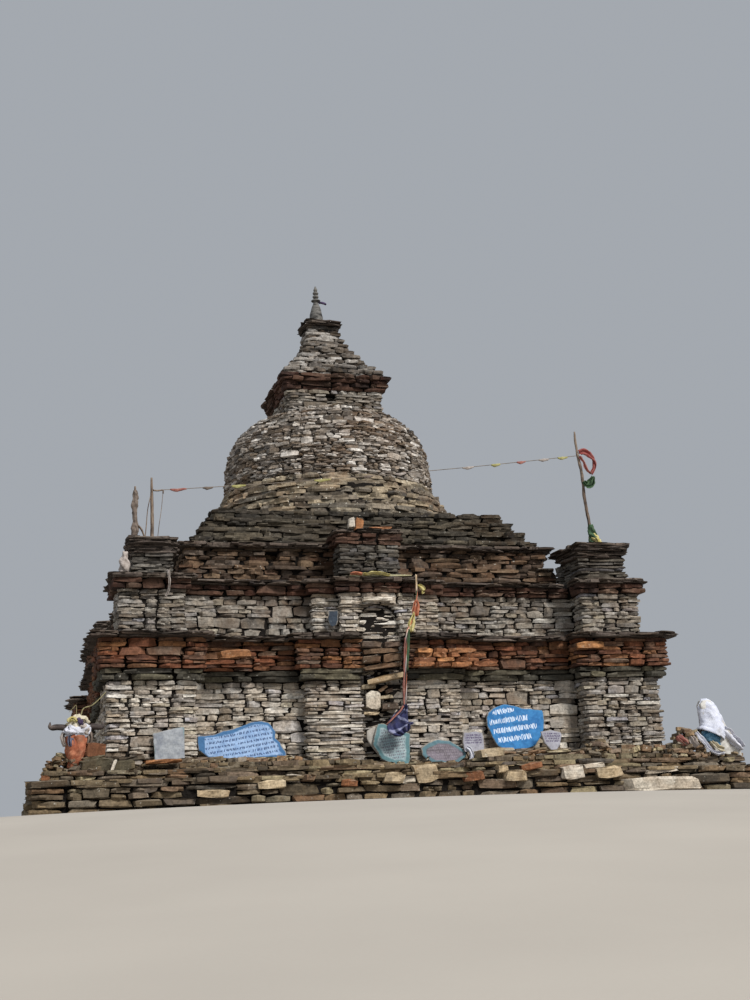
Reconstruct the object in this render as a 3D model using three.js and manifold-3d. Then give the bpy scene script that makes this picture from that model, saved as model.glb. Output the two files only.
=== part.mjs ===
// A dry-stone stupa of flat rubble on a low plinth, with painted slabs leaning on it, flag poles and
// a streamer.
// Millimetres, +Z up. The origin is the centre of the plinth's underside, and the front faces -Y.
import * as THREE from "three";
import { mergeVertices } from "three/addons/utils/BufferGeometryUtils.js";
import Module from "manifold-3d";

const wasm = await Module();
wasm.setup();

// Heights of the courses above the ground.
const plinthBaseTop = 480;
const plinthLedgeTop = 600;
const plinthTop = 700;
const lowerWallTop = 1775;
const corbelTop = 1920;
const redBandTop = 2313;
const lowerCapTop = 2390;
const secondWallTop = 3000;
const corniceTop = 3140;
const secondCapTop = 3205;
const thirdLedgeTop = 3540;
const thirdWallTop = 3810;
const thirdCapTop = 3880;
const turretWallTop = 3540;
const turretTop = 3755;
const dormerWallTop = 3765;
const dormerCorbelTop = 3935;
const dormerTop = 3990;
const skirtFoot = 4500;
const domeFoot = 5260;
const domeTop = 6680;
const harmikaFoot = 6400;
const harmikaTop = 6920;
const harmikaCorniceTop = 7190;
const roofTop = 8270;
const roofSlabTop = 8385;
const finialTip = 9100;

// Half widths of the square plinth's base, of the ledge that the offerings stand on, and of its top.
const plinthHalf = 4800;
const plinthLedgeHalf = 4620;
const plinthTopHalf = 4180;

// Each storey: half widths to the recessed wall and to the corner piers, the piers' width,
// and the central bays as steps of half width and face.
const lowerStorey = { wall: 3530, pier: 3850, pierWidth: 1190, bay: { half: 1100, face: 3720 } };
const secondStorey = { wall: 3300, pier: 3705, pierWidth: 920, bay: { half: 920, face: 3460 } };
const secondFrontStep = { half: 556, face: 3580 };
const frontBayShift = -150; // the front bays stand a little left of the middle

// How far the stone courses stand out from the wall below them.
const corbelOut = 80;
const redBandOut = 120;
const lowerCapOut = 230;
const corniceOut = 70;
const secondCapOut = 120;

// The tall arched doorway in the middle of the front, walled up with rubble.
const doorway = { half: 280, back: 3440, archTop: 2840, archSteps: 8, fillLower: 3640, fillUpper: 3500 };

// The third storey, its corner turrets and its dormers.
const third = { ledgeHalf: 2800, wallHalf: 2720, capHalf: 2800 };
const turretCentre = 3212;
const turretHalves = { front_left: 300, front_right: 395, back_right: 350, back_left: 350 };
const turretCapSteps = [35, 60, 70];
const dormer = { half: 460, face: 3200, corbelOut: 40, capOut: 62 };
const ventSize = { width: 120, height: 130, depth: 220 };
const thirdVent = { x: -1450, z: 3700 };
const harmikaVent = { x: -78, z: 6800 };

// The stepped terraces under the dome: half width and top of each.
const terraceSteps = [
  { half: 2620, top: 4005 },
  { half: 2500, top: 4170 },
  { half: 2380, top: 4340 },
  { half: 2270, top: skirtFoot },
];

// The round parts.
const skirtFootRadius = 2230;
const skirtTopRadius = 1780;
const skirtCourses = 5;
const domeRadius = 1735;
const domePower = 3; // over 2 makes the dome's sides stand up straighter than a ball's
const domeCourses = 14;
const roundSegments = 48;

// The crown.
const harmikaHalf = 820;
const harmikaCorniceSteps = [855, 880, 905, 935];
const roofFootHalf = 850;
const roofNeckHalf = 290;
const roofCourses = 9;
const roofSag = 1.55; // over 1 makes the roof's slope hollow
const roofLean = -0.05; // sideways shift for each unit of height
const roofSlabHalf = 325;

// The finial: its bell as radius and height, then its rings as radius, height and thickness.
const finialX = -105;
const finialBell = [[125, 0], [118, 90], [100, 220], [70, 330], [38, 410]];
const finialRings = [[70, 470, 30], [50, 550, 26], [44, 622, 24]];
const finialNeck = 24;
const finialPoint = 14;

// The poles on the turrets, each with its foot, its top's shift from the foot, and its height.
const poleRadius = 22;
const poleTaper = 0.2;
const poleSides = 12;
const poles = {
  pole_left_outer: { foot: [-3440, -3350], shift: [0, 0], height: 730 },
  pole_left_inner: { foot: [-3200, -3210], shift: [-10, 0], height: 900 },
  pole_right: { foot: [3260, -3210], shift: [-140, 0], height: 1810 },
};
const lineRadius = 5;
const lineEnds = { left: 4475, right: 5190 };
const lineSag = 50;
const lineSteps = 24;
const lineGap = 0.9;

// Gaps between pieces that rest on or in one another, and how far a cutting tool passes what it cuts.
const seatGap = 0.3;
const fitGap = 0.5;
const cutPast = 10;

// The painted and carved slabs that lean on the front. Each outline is x and height above the plinth.
const slabThickness = 45;
const slabLean = 0.14;
const slabs = {
  grey_slab: {
    face: lowerStorey.pier,
    outline: [[-3231, 0], [-2869, 0], [-2848, 400], [-2880, 425], [-3271, 350]],
  },
  long_blue_slab: {
    face: lowerStorey.wall,
    outline: [
      [-2640, 110], [-2560, 20], [-2150, 0], [-1760, 0], [-1500, 60], [-1590, 215],
      [-1590, 350], [-1720, 450], [-2000, 430], [-2630, 290],
    ],
  },
  pointed_blue_slab: {
    face: lowerStorey.bay.face,
    outline: [[-326, 20], [-100, 0], [60, 0], [100, 360], [-365, 460], [-500, 390]],
  },
  oval_blue_slab: {
    face: lowerStorey.bay.face,
    outline: [[310, 0], [690, 0], [835, 120], [800, 190], [640, 240], [365, 260], [235, 150]],
  },
  round_blue_slab: {
    face: lowerStorey.wall,
    outline: [
      [1420, 0], [1940, 0], [2090, 170], [2110, 560], [1850, 625], [1500, 655], [1290, 560], [1330, 200],
    ],
  },
};

// The offerings at the plinth's two ends. The post narrows downwards.
const offeringPost = { x: -4216, y: -4340, topRadius: 122, footRadius: 66, height: 445, sides: 12 };
const skull = { height: 250, width: 150, depth: 130, chin: 90, crown: 126, brow: 138 };
const horns = { span: 610, bend: 256, dip: 10, lift: 75, radius: 20, steps: 24 };
const drapedStone = {
  y: -4440,
  depth: 160,
  outline: [
    [4230, 0], [4612, 0], [4590, 100], [4490, 290], [4310, 620],
    [4213, 772], [4103, 773], [4055, 700], [4090, 500], [4150, 250],
  ],
};

// The heaps of flat stones beside the offerings: the middle and half widths of the foot, then each
// layer's share of the foot and its top above the ledge.
const heapSides = 9;
const heapWander = 0.06;
const heaps = {
  left_stone_heap: {
    middle: [-4240, -4395],
    reach: [350, 200],
    layers: [{ share: 1, top: 60 }, { share: 0.8, top: 130 }, { share: 0.5, top: 200 }],
  },
  right_stone_heap: {
    middle: [3870, -4395],
    reach: [260, 200],
    layers: [
      { share: 1, top: 110 },
      { share: 0.78, top: 220 },
      { share: 0.55, top: 320 },
      { share: 0.32, top: 400 },
    ],
  },
};

// The long streamer of twisted cloth, from the upper slabs over the lower slabs' edge to its blue flag.
const tubeSides = 8;
const streamerRadius = 14;
const streamerSteps = 60;
const streamerPath = [
  [384, -3560, 3220], [376, -3640, 3220], [371, -3699, 3222], [368, -3716, 3216], [366, -3722, 3188],
  [360, -3730, 3070], [354, -3748, 2960], [336, -3774, 2860], [300, -3812, 2750], [258, -3858, 2640],
  [206, -3914, 2520], [160, -3956, 2440], [128, -3978, 2385], [110, -3984, 2300], [98, -3986, 2150],
  [88, -3988, 1980], [80, -3990, 1800], [72, -3992, 1620], [66, -3995, 1480], [66, -3995, 1404],
];
const streamerFlag = {
  y: -3995,
  depth: 46,
  outline: [[44, 1404], [90, 1404], [168, 1110], [-60, 1045], [-205, 1150]],
};

const finishes = {
  rubble: { color: 0xb0a698, roughness: 0.95, metalness: 0 },
  redStone: { color: 0x96583c, roughness: 0.95, metalness: 0 },
  brownStone: { color: 0x7d624b, roughness: 0.95, metalness: 0 },
  slate: { color: 0x4b4644, roughness: 0.9, metalness: 0 },
  domeStone: { color: 0x857a6c, roughness: 0.95, metalness: 0 },
  painted: { color: 0x5a92b8, roughness: 0.85, metalness: 0 },
  paleSlab: { color: 0x8c9298, roughness: 0.85, metalness: 0 },
  wood: { color: 0x6b5a4c, roughness: 0.9, metalness: 0 },
  bone: { color: 0xcfc6b4, roughness: 0.8, metalness: 0 },
  ochre: { color: 0xb4623c, roughness: 0.95, metalness: 0 },
  cloth: { color: 0x3c4a5e, roughness: 0.95, metalness: 0 },
  darkMetal: { color: 0x5a5f63, roughness: 0.7, metalness: 0.3 },
};

const stupa = new THREE.Group();

function place(name, finish, geometry) {
  const mesh = new THREE.Mesh(geometry, new THREE.MeshStandardMaterial(finishes[finish]));
  mesh.name = name;
  stupa.add(mesh);
  return mesh;
}

function shapeOf(points) {
  return new THREE.Shape(points.map(([x, y]) => new THREE.Vector2(x, y)));
}

// A plan outline raised from one height to another.
function raised(outline, bottom, top) {
  const options = { depth: top - bottom, bevelEnabled: false };
  const geometry = new THREE.ExtrudeGeometry(shapeOf(outline), options);
  return geometry.translate(0, 0, bottom);
}

// A front outline of x and height, with its front face at -face and its back at -back.
function upright(outline, face, back) {
  const options = { depth: face - back, bevelEnabled: false };
  const geometry = new THREE.ExtrudeGeometry(shapeOf(outline), options);
  return geometry.rotateX(Math.PI / 2).translate(0, -back, 0);
}

function block(low, high) {
  const size = high.map((value, axis) => value - low[axis]);
  const middle = high.map((value, axis) => (value + low[axis]) / 2);
  return new THREE.BoxGeometry(...size).translate(...middle);
}

// A square or round body about the Z axis, from a profile of half width and height.
function squareStack(profile) {
  const points = profile.map(([half, z]) => new THREE.Vector2(half * Math.SQRT2, z));
  return new THREE.LatheGeometry(points, 4, Math.PI / 4).rotateX(Math.PI / 2);
}

function roundStack(profile) {
  const points = profile.map(([radius, z]) => new THREE.Vector2(radius, z));
  return new THREE.LatheGeometry(points, roundSegments).rotateX(Math.PI / 2);
}

// The profile of a pile of steps, from the axis at the foot to the axis at the top.
function steppedProfile(foot, steps) {
  const profile = [[0, foot]];
  let bottom = foot;
  for (const { half, top } of steps) {
    profile.push([half, bottom], [half, top]);
    bottom = top;
  }
  profile.push([0, bottom]);
  return profile;
}

const mergeDistance = 1e-3;

function solidFrom(geometry) {
  const bare = geometry.index ? geometry.toNonIndexed() : geometry.clone();
  bare.deleteAttribute("normal");
  bare.deleteAttribute("uv");
  const merged = mergeVertices(bare, mergeDistance);
  const triVerts = new Uint32Array(merged.index.array);
  const vertProperties = merged.attributes.position.array;
  return new wasm.Manifold(new wasm.Mesh({ numProp: 3, vertProperties, triVerts }));
}

function geometryFrom(solid) {
  const mesh = solid.getMesh();
  const geometry = new THREE.BufferGeometry();
  geometry.setAttribute("position", new THREE.BufferAttribute(mesh.vertProperties, 3));
  geometry.setIndex(new THREE.BufferAttribute(mesh.triVerts, 1));
  return geometry;
}

function cut(body, ...tools) {
  return geometryFrom(tools.reduce((solid, tool) => solid.subtract(solidFrom(tool)), solidFrom(body)));
}

function join(body, ...others) {
  return geometryFrom(others.reduce((solid, other) => solid.add(solidFrom(other)), solidFrom(body)));
}

// One side of a storey's plan, from its left pier to its right one, as pairs of place along the side and
// distance out from the middle. A step that goes back in, such as the doorway, keeps its exact size.
function sideOutline(storey, steps, shift, out, piers) {
  const wall = storey.wall + out;
  const pier = storey.pier + out;
  const pierEdge = storey.pier - storey.pierWidth - out;
  const corner = piers ? [[-pier, pier], [-pierEdge, pier]] : [[-pierEdge, pierEdge]];
  const left = [...corner, [-pierEdge, wall]];
  const right = piers ? [[pierEdge, wall], [pierEdge, pier]] : [[pierEdge, wall]];
  let face = wall;
  for (const step of steps) {
    const stands = step.face + out > face;
    const half = stands ? step.half + out : step.half;
    const next = stands ? step.face + out : step.face;
    left.push([shift - half, face], [shift - half, next]);
    right.unshift([shift + half, next], [shift + half, face]);
    face = next;
  }
  return [...left, ...right];
}

// A storey's whole plan: the front has its own steps, and the other three sides repeat one another.
function planOutline(storey, frontSteps, otherSteps, out = 0, piers = true) {
  const front = sideOutline(storey, frontSteps, frontBayShift, out, piers);
  const other = sideOutline(storey, otherSteps, 0, out, piers);
  return [
    ...front.map(([along, away]) => [along, -away]),
    ...other.map(([along, away]) => [away, along]),
    ...other.map(([along, away]) => [-along, away]),
    ...other.map(([along, away]) => [-away, -along]),
  ];
}

// Four copies of a piece at the corners of a square, named front_left and so on.
function atCorners(centre, makePiece) {
  const corners = {
    front_left: [-1, -1],
    front_right: [1, -1],
    back_right: [1, 1],
    back_left: [-1, 1],
  };
  for (const [corner, [x, y]] of Object.entries(corners)) {
    makePiece(corner, x * centre, y * centre);
  }
}

function pierBlocks(prefix, storey, bottom, top) {
  const half = storey.pierWidth / 2;
  atCorners(storey.pier - half, (corner, x, y) => {
    const geometry = block([x - half, y - half, bottom], [x + half, y + half, top]);
    place(`${prefix}_${corner}`, "rubble", geometry);
  });
}

function plinth() {
  const base = steppedProfile(0, [{ half: plinthHalf, top: plinthBaseTop }]);
  place("plinth_base", "rubble", squareStack(base));
  const steps = [
    { half: plinthLedgeHalf, top: plinthLedgeTop },
    { half: plinthTopHalf, top: plinthTop },
  ];
  place("plinth_top_courses", "rubble", squareStack(steppedProfile(plinthBaseTop, steps)));
}

const doorwayStep = { half: doorway.half, face: doorway.back };

function doorwayArch(trim, bottom) {
  const radius = doorway.half - trim;
  const spring = doorway.archTop - doorway.half;
  const bow = new THREE.Path().absarc(frontBayShift, spring, radius, 0, Math.PI, false);
  const arch = bow.getPoints(doorway.archSteps);
  const feet = [[frontBayShift - radius, bottom], [frontBayShift + radius, bottom]];
  return [...feet, ...arch.map((point) => [point.x, point.y])];
}

function lowerStoreyPieces() {
  const { bay } = lowerStorey;
  const wallPlan = planOutline(lowerStorey, [doorwayStep], [bay], 0, false);
  place("lower_wall", "rubble", raised(wallPlan, plinthTop, lowerWallTop));
  pierBlocks("lower_pier", lowerStorey, plinthTop, lowerWallTop);
  for (const [side, sign] of [["left", -1], ["right", 1]]) {
    const edges = [doorway.half, bay.half].map((half) => frontBayShift + sign * half);
    edges.sort((a, b) => a - b);
    const geometry = block([edges[0], -bay.face, plinthTop], [edges[1], -lowerStorey.wall, lowerWallTop]);
    place(`doorway_pilaster_${side}`, "rubble", geometry);
  }
  const courses = [
    ["lower_corbel", "rubble", corbelOut, lowerWallTop, corbelTop],
    ["red_band", "redStone", redBandOut, corbelTop, redBandTop],
    ["lower_cap_slabs", "slate", lowerCapOut, redBandTop, lowerCapTop],
  ];
  for (const [name, finish, out, bottom, top] of courses) {
    const plan = planOutline(lowerStorey, [bay, doorwayStep], [bay], out);
    place(name, finish, raised(plan, bottom, top));
  }
}

function doorwayFilling() {
  const { half, back, fillLower, fillUpper } = doorway;
  const low = [frontBayShift - half + fitGap, -fillLower, plinthTop];
  const high = [frontBayShift + half - fitGap, -back - fitGap, lowerCapTop];
  const upper = upright(doorwayArch(fitGap, lowerCapTop - cutPast), fillUpper, back + fitGap);
  place("doorway_filling", "rubble", join(block(low, high), upper));
}

function secondStoreyPieces() {
  const { bay } = secondStorey;
  const wallPlan = planOutline(secondStorey, [], [bay], 0, false);
  place("second_wall", "rubble", raised(wallPlan, lowerCapTop, secondWallTop));
  pierBlocks("second_pier", secondStorey, lowerCapTop, secondWallTop);

  const edges = [bay, secondFrontStep].map(({ half, face }) => ({
    left: frontBayShift - half,
    right: frontBayShift + half,
    face: -face,
  }));
  const [outer, inner] = edges;
  const back = -secondStorey.wall;
  const plan = [
    [outer.left, back], [outer.left, outer.face], [inner.left, outer.face], [inner.left, inner.face],
    [inner.right, inner.face], [inner.right, outer.face], [outer.right, outer.face], [outer.right, back],
  ];
  const arch = upright(doorwayArch(0, lowerCapTop - cutPast), secondFrontStep.face + cutPast, doorway.back);
  place("second_front_bay", "rubble", cut(raised(plan, lowerCapTop, secondWallTop), arch));

  const courses = [
    ["second_cornice", "redStone", corniceOut, secondWallTop, corniceTop],
    ["second_cap_slabs", "slate", secondCapOut, corniceTop, secondCapTop],
  ];
  for (const [name, finish, out, bottom, top] of courses) {
    const course = planOutline(secondStorey, [bay, secondFrontStep], [bay], out);
    place(name, finish, raised(course, bottom, top));
  }
}

function vent(x, face, z) {
  const { width, height, depth } = ventSize;
  const low = [x - width / 2, -face - cutPast, z - height / 2];
  return block(low, [x + width / 2, -face + depth, z + height / 2]);
}

function thirdStoreyPieces() {
  const steps = [
    { half: third.ledgeHalf, top: thirdLedgeTop },
    { half: third.wallHalf, top: thirdWallTop },
  ];
  const wall = squareStack(steppedProfile(secondCapTop, steps));
  place("third_wall", "brownStone", cut(wall, vent(thirdVent.x, third.wallHalf, thirdVent.z)));
  const cap = steppedProfile(thirdWallTop, [{ half: third.capHalf, top: thirdCapTop }]);
  place("third_cap_slabs", "slate", squareStack(cap));
}

function turrets() {
  const layer = (turretTop - turretWallTop) / turretCapSteps.length;
  atCorners(turretCentre, (corner, x, y) => {
    const half = turretHalves[corner];
    const steps = [{ half, top: turretWallTop }];
    turretCapSteps.forEach((out, index) => {
      steps.push({ half: half + out, top: turretWallTop + layer * (index + 1) });
    });
    const turret = place(`turret_${corner}`, "rubble", squareStack(steppedProfile(secondCapTop, steps)));
    turret.position.set(x, y, 0);
  });
}

// A dormer on the front, then the same one turned to each other side without the front's shift.
function dormers() {
  const { half, face, corbelOut: corbel, capOut } = dormer;
  const profile = (shift, sign) => [
    [half, secondCapTop], [half, dormerWallTop], [half + corbel, dormerWallTop],
    [half + corbel, dormerCorbelTop], [half + capOut, dormerCorbelTop], [half + capOut, dormerTop],
  ].map(([out, z]) => [shift + sign * out, z]);
  const outline = (shift) => [...profile(shift, 1), ...profile(shift, -1).reverse()];
  const body = (shift) => upright(outline(shift), face + corbel, third.ledgeHalf);
  place("dormer_front", "rubble", body(frontBayShift));
  ["right", "back", "left"].forEach((side, index) => {
    const mesh = place(`dormer_${side}`, "rubble", body(0));
    mesh.geometry.translate(0, -seatGap, 0);
    mesh.rotation.z = (Math.PI / 2) * (index + 1);
  });
}

function terraces() {
  let bottom = thirdCapTop;
  terraceSteps.forEach(({ half, top }, index) => {
    place(`terrace_${index + 1}`, "brownStone", squareStack(steppedProfile(bottom, [{ half, top }])));
    bottom = top;
  });
}

function skirt() {
  const rise = (domeFoot - skirtFoot) / skirtCourses;
  const steps = Array.from({ length: skirtCourses }, (_, index) => ({
    half: THREE.MathUtils.lerp(skirtFootRadius, skirtTopRadius, index / (skirtCourses - 1)),
    top: skirtFoot + rise * (index + 1),
  }));
  place("dome_skirt", "brownStone", roundStack(steppedProfile(skirtFoot, steps)));
}

// The dome rises almost straight before it turns in, and each course of its stones is set in from the
// one below. The harmika sinks a little into its top.
function dome() {
  const rise = (domeTop - domeFoot) / domeCourses;
  const courses = Array.from({ length: domeCourses }, (_, index) => {
    const climb = (index + 0.5) / domeCourses;
    return {
      half: domeRadius * (1 - climb ** domePower) ** (1 / domePower),
      top: domeFoot + rise * (index + 1),
    };
  });
  const reach = harmikaHalf + seatGap;
  const seat = block([-reach, -reach, harmikaFoot], [reach, reach, domeTop + cutPast]);
  place("dome", "domeStone", cut(roundStack(steppedProfile(domeFoot, courses)), seat));
}

function crown() {
  const body = block([-harmikaHalf, -harmikaHalf, harmikaFoot], [harmikaHalf, harmikaHalf, harmikaTop]);
  place("harmika", "rubble", cut(body, vent(harmikaVent.x, harmikaHalf, harmikaVent.z)));

  const layer = (harmikaCorniceTop - harmikaTop) / harmikaCorniceSteps.length;
  const cornice = harmikaCorniceSteps.map((half, index) => {
    return { half, top: harmikaTop + layer * (index + 1) };
  });
  place("harmika_cornice", "brownStone", squareStack(steppedProfile(harmikaTop, cornice)));

  const rise = (roofTop - harmikaCorniceTop) / roofCourses;
  const courses = Array.from({ length: roofCourses }, (_, index) => {
    const left = 1 - index / (roofCourses - 1);
    const half = roofNeckHalf + (roofFootHalf - roofNeckHalf) * left ** roofSag;
    return { half, top: harmikaCorniceTop + rise * (index + 1) };
  });
  const lean = new THREE.Matrix4().makeShear(0, 0, 0, 0, roofLean, 0);
  const leaning = (geometry) => geometry.translate(0, 0, -harmikaCorniceTop)
    .applyMatrix4(lean).translate(0, 0, harmikaCorniceTop);
  place("roof", "brownStone", leaning(squareStack(steppedProfile(harmikaCorniceTop, courses))));
  const slab = steppedProfile(roofTop, [{ half: roofSlabHalf, top: roofSlabTop }]);
  place("roof_slab", "slate", leaning(squareStack(slab)));
}

function finial() {
  const profile = [[0, 0], ...finialBell];
  for (const [radius, bottom, thickness] of finialRings) {
    const top = bottom + thickness;
    profile.push([finialNeck, bottom], [radius, bottom], [radius, top], [finialNeck, top]);
  }
  profile.push([finialPoint, finialTip - roofSlabTop], [0, finialTip - roofSlabTop]);
  place("finial", "darkMetal", roundStack(profile)).position.set(finialX, 0, roofSlabTop);
}

function polePieces() {
  for (const [name, { foot, shift, height }] of Object.entries(poles)) {
    const pole = new THREE.CylinderGeometry(poleRadius * (1 - poleTaper), poleRadius, height, poleSides);
    const lean = new THREE.Matrix4().makeShear(0, 0, 0, 0, shift[0] / height, shift[1] / height);
    pole.rotateX(Math.PI / 2).translate(0, 0, height / 2).applyMatrix4(lean);
    place(name, "wood", pole).position.set(foot[0], foot[1], turretTop);
  }
}

class HandPath extends THREE.CatmullRomCurve3 {
  constructor(points) {
    super(points.map((point) => new THREE.Vector3(...point)), false, "catmullrom", 0.5);
  }
}

function tube(path, radius, steps) {
  const section = new THREE.Shape().absarc(0, 0, radius, 0, 2 * Math.PI, false);
  const ring = new THREE.Shape(section.getPoints(tubeSides / 2).slice(0, -1));
  return new THREE.ExtrudeGeometry(ring, { extrudePath: path, steps, bevelEnabled: false });
}

// Where the pole's surface is at a height, on the side that faces the line.
function poleSide(name, z, side) {
  const { foot, shift, height } = poles[name];
  const climb = (z - turretTop) / height;
  const radius = poleRadius * (1 - poleTaper * climb);
  return foot[0] + shift[0] * climb + side * (radius + lineGap);
}

// The line of flags between the inner left pole and the right pole, nearly taut.
function flagLine() {
  const start = poleSide("pole_left_inner", lineEnds.left, 1);
  const end = poleSide("pole_right", lineEnds.right, -1);
  const points = Array.from({ length: lineSteps + 1 }, (_, index) => {
    const t = index / lineSteps;
    const sag = 4 * lineSag * t * (1 - t);
    return [
      THREE.MathUtils.lerp(start, end, t),
      poles.pole_right.foot[1],
      THREE.MathUtils.lerp(lineEnds.left, lineEnds.right, t) - sag,
    ];
  });
  place("flag_line", "cloth", tube(new HandPath(points), lineRadius, lineSteps * 2));
}

function streamer() {
  place("streamer", "cloth", tube(new HandPath(streamerPath), streamerRadius, streamerSteps));
  const { outline, y, depth } = streamerFlag;
  const flag = outline.map(([x, z]) => [x, z - seatGap]);
  place("streamer_flag", "cloth", upright(flag, -y + depth / 2, -y - depth / 2));
}

// A slab stands on the plinth on its back edge and leans until its top meets the wall.
function leaningSlab(name, { outline, face }) {
  const height = Math.max(...outline.map(([, z]) => z));
  const finish = name === "grey_slab" ? "paleSlab" : "painted";
  const mesh = place(name, finish, upright(outline, slabThickness, 0));
  mesh.rotation.x = -slabLean;
  mesh.position.set(0, -face - seatGap - height * Math.sin(slabLean), plinthTop + seatGap);
}

// The post's round body, made wider by a gap where it is a tool that cuts its own seat.
function postBody(gap) {
  const { x, y, topRadius, footRadius, height, sides } = offeringPost;
  const body = new THREE.CylinderGeometry(topRadius + gap, footRadius + gap, height, sides);
  return body.rotateX(Math.PI / 2).translate(x, y, plinthLedgeTop + height / 2);
}

function offeringPieces() {
  const { x, y, height } = offeringPost;
  place("offering_post", "ochre", postBody(0));

  const foot = plinthLedgeTop + height;
  const { width, depth, chin, crown } = skull;
  const brow = foot + skull.brow;
  const top = foot + skull.height;
  const head = [
    [-chin / 2, foot], [chin / 2, foot], [width / 2, brow],
    [crown / 2, top], [-crown / 2, top], [-width / 2, brow],
  ];
  const { span, bend, dip, lift, radius, steps } = horns;
  const pair = new HandPath([
    [-span / 2, 0, brow + lift], [-bend, 0, brow - dip], [-width / 2, 0, brow],
    [width / 2, 0, brow], [bend, 0, brow - dip], [span / 2, 0, brow + lift],
  ]);
  const horned = join(upright(head, depth / 2, -depth / 2), tube(pair, radius, steps));
  place("horned_skull", "bone", horned).position.set(x, y, 0);

  const outline = drapedStone.outline.map(([along, z]) => [along, z + plinthLedgeTop]);
  const front = -drapedStone.y + drapedStone.depth / 2;
  place("draped_stone", "bone", upright(outline, front, front - drapedStone.depth));
}

// A heap's layers have uneven outlines, each turned a little from the one below.
function heapBody({ middle, reach, layers }) {
  let bottom = 0;
  const bodies = layers.map(({ share, top }, layer) => {
    const outline = Array.from({ length: heapSides }, (_, index) => {
      const angle = (2 * Math.PI * (index + layer / 2)) / heapSides;
      const out = share * (1 + heapWander * Math.sin(3 * angle + layer));
      return [middle[0] + reach[0] * out * Math.cos(angle), middle[1] + reach[1] * out * Math.sin(angle)];
    });
    const body = raised(outline, plinthLedgeTop + bottom, plinthLedgeTop + top);
    bottom = top;
    return body;
  });
  return join(...bodies);
}

function heapPieces() {
  place("left_stone_heap", "rubble", cut(heapBody(heaps.left_stone_heap), postBody(fitGap)));
  place("right_stone_heap", "rubble", heapBody(heaps.right_stone_heap));
}

plinth();
lowerStoreyPieces();
doorwayFilling();
secondStoreyPieces();
thirdStoreyPieces();
turrets();
dormers();
terraces();
skirt();
dome();
crown();
finial();
polePieces();
flagLine();
streamer();
for (const [name, slab] of Object.entries(slabs)) leaningSlab(name, slab);
offeringPieces();
heapPieces();

export default stupa;
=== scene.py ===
"""A dry-stone stupa of flat rubble: its masonry, painted slabs, poles, flags, streamer and offerings."""

import logging
import math
from collections.abc import Callable, Sequence
from dataclasses import dataclass, replace
from enum import Enum
from functools import partial
from typing import ClassVar

import bmesh
import bpy
import numpy as np
from mathutils import Matrix, Vector, noise
from mathutils.bvhtree import BVHTree


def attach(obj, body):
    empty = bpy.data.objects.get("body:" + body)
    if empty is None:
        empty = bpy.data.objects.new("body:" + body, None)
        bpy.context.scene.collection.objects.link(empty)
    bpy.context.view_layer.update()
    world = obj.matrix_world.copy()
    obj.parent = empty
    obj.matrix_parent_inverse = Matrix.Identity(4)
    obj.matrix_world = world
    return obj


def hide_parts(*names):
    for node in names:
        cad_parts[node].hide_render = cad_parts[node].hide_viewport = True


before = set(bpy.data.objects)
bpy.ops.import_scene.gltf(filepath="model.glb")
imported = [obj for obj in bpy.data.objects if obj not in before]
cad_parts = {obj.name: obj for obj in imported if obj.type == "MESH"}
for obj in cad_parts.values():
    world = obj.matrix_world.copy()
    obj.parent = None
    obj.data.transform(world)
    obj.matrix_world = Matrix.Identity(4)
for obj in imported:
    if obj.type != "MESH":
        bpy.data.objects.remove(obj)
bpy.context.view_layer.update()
log = logging.getLogger("stupa")

NOISE_SEED = 3

Point = Sequence[float]
Range = tuple[float, float]


def paint(code: str) -> tuple[float, float, float, float]:
    """Turns a colour code such as "#b9b2a8" into a linear colour with alpha.

    Args:
        code: The colour as it would be typed in a paint program, such as "#b9b2a8".

    Returns:
        Red, green and blue in linear light, and an alpha of 1.
    """
    parts = [int(code[place : place + 2], 16) / 255 for place in (1, 3, 5)]
    linear = [part / 12.92 if part <= 0.04045 else ((part + 0.055) / 1.055) ** 2.4 for part in parts]
    return (*linear, 1.0)


def operation(kind: str, swapped: bool = False) -> Callable[..., "Shade"]:
    """Makes a method that joins its value and another with one Math node.

    Args:
        kind: The node's operation.
        swapped: Whether the other value comes first, for a number on the left.

    Returns:
        The method.
    """

    def joins(self: "Shade", other: "Shade | float" = 0.0) -> "Shade":
        """Adds the node."""
        pair = {0: other, 1: self} if swapped else {0: self, 1: other}
        return Shade(self.graph, self.graph.node("ShaderNodeMath", {"operation": kind}, pair).outputs[0])

    return joins


class Shade:
    """A socket of a material's tree that takes part in Python arithmetic."""

    __add__ = operation("ADD")
    __radd__ = operation("ADD", swapped=True)
    __sub__ = operation("SUBTRACT")
    __rsub__ = operation("SUBTRACT", swapped=True)
    __mul__ = operation("MULTIPLY")
    __rmul__ = operation("MULTIPLY", swapped=True)
    __truediv__ = operation("DIVIDE")
    __gt__ = operation("GREATER_THAN")
    most = operation("MAXIMUM")
    size = operation("ABSOLUTE")
    sine = operation("SINE")
    fraction = operation("FRACT")
    whole = operation("FLOOR")

    def __init__(self, graph: "Graph", socket: bpy.types.NodeSocket) -> None:
        """Keeps the tree and the socket."""
        self.graph = graph
        self.socket = socket

    def between(self, low: float, high: float) -> "Shade":
        """Rises smoothly from 0 at low to 1 at high.

        Args:
            low: The value below which the result is 0.
            high: The value above which it is 1.

        Returns:
            The eased share.
        """
        settings = {"interpolation_type": "SMOOTHSTEP"}
        sockets = {"Value": self, "From Min": low, "From Max": high}
        node = self.graph.node("ShaderNodeMapRange", settings, sockets)
        return Shade(self.graph, node.outputs["Result"])


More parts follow.
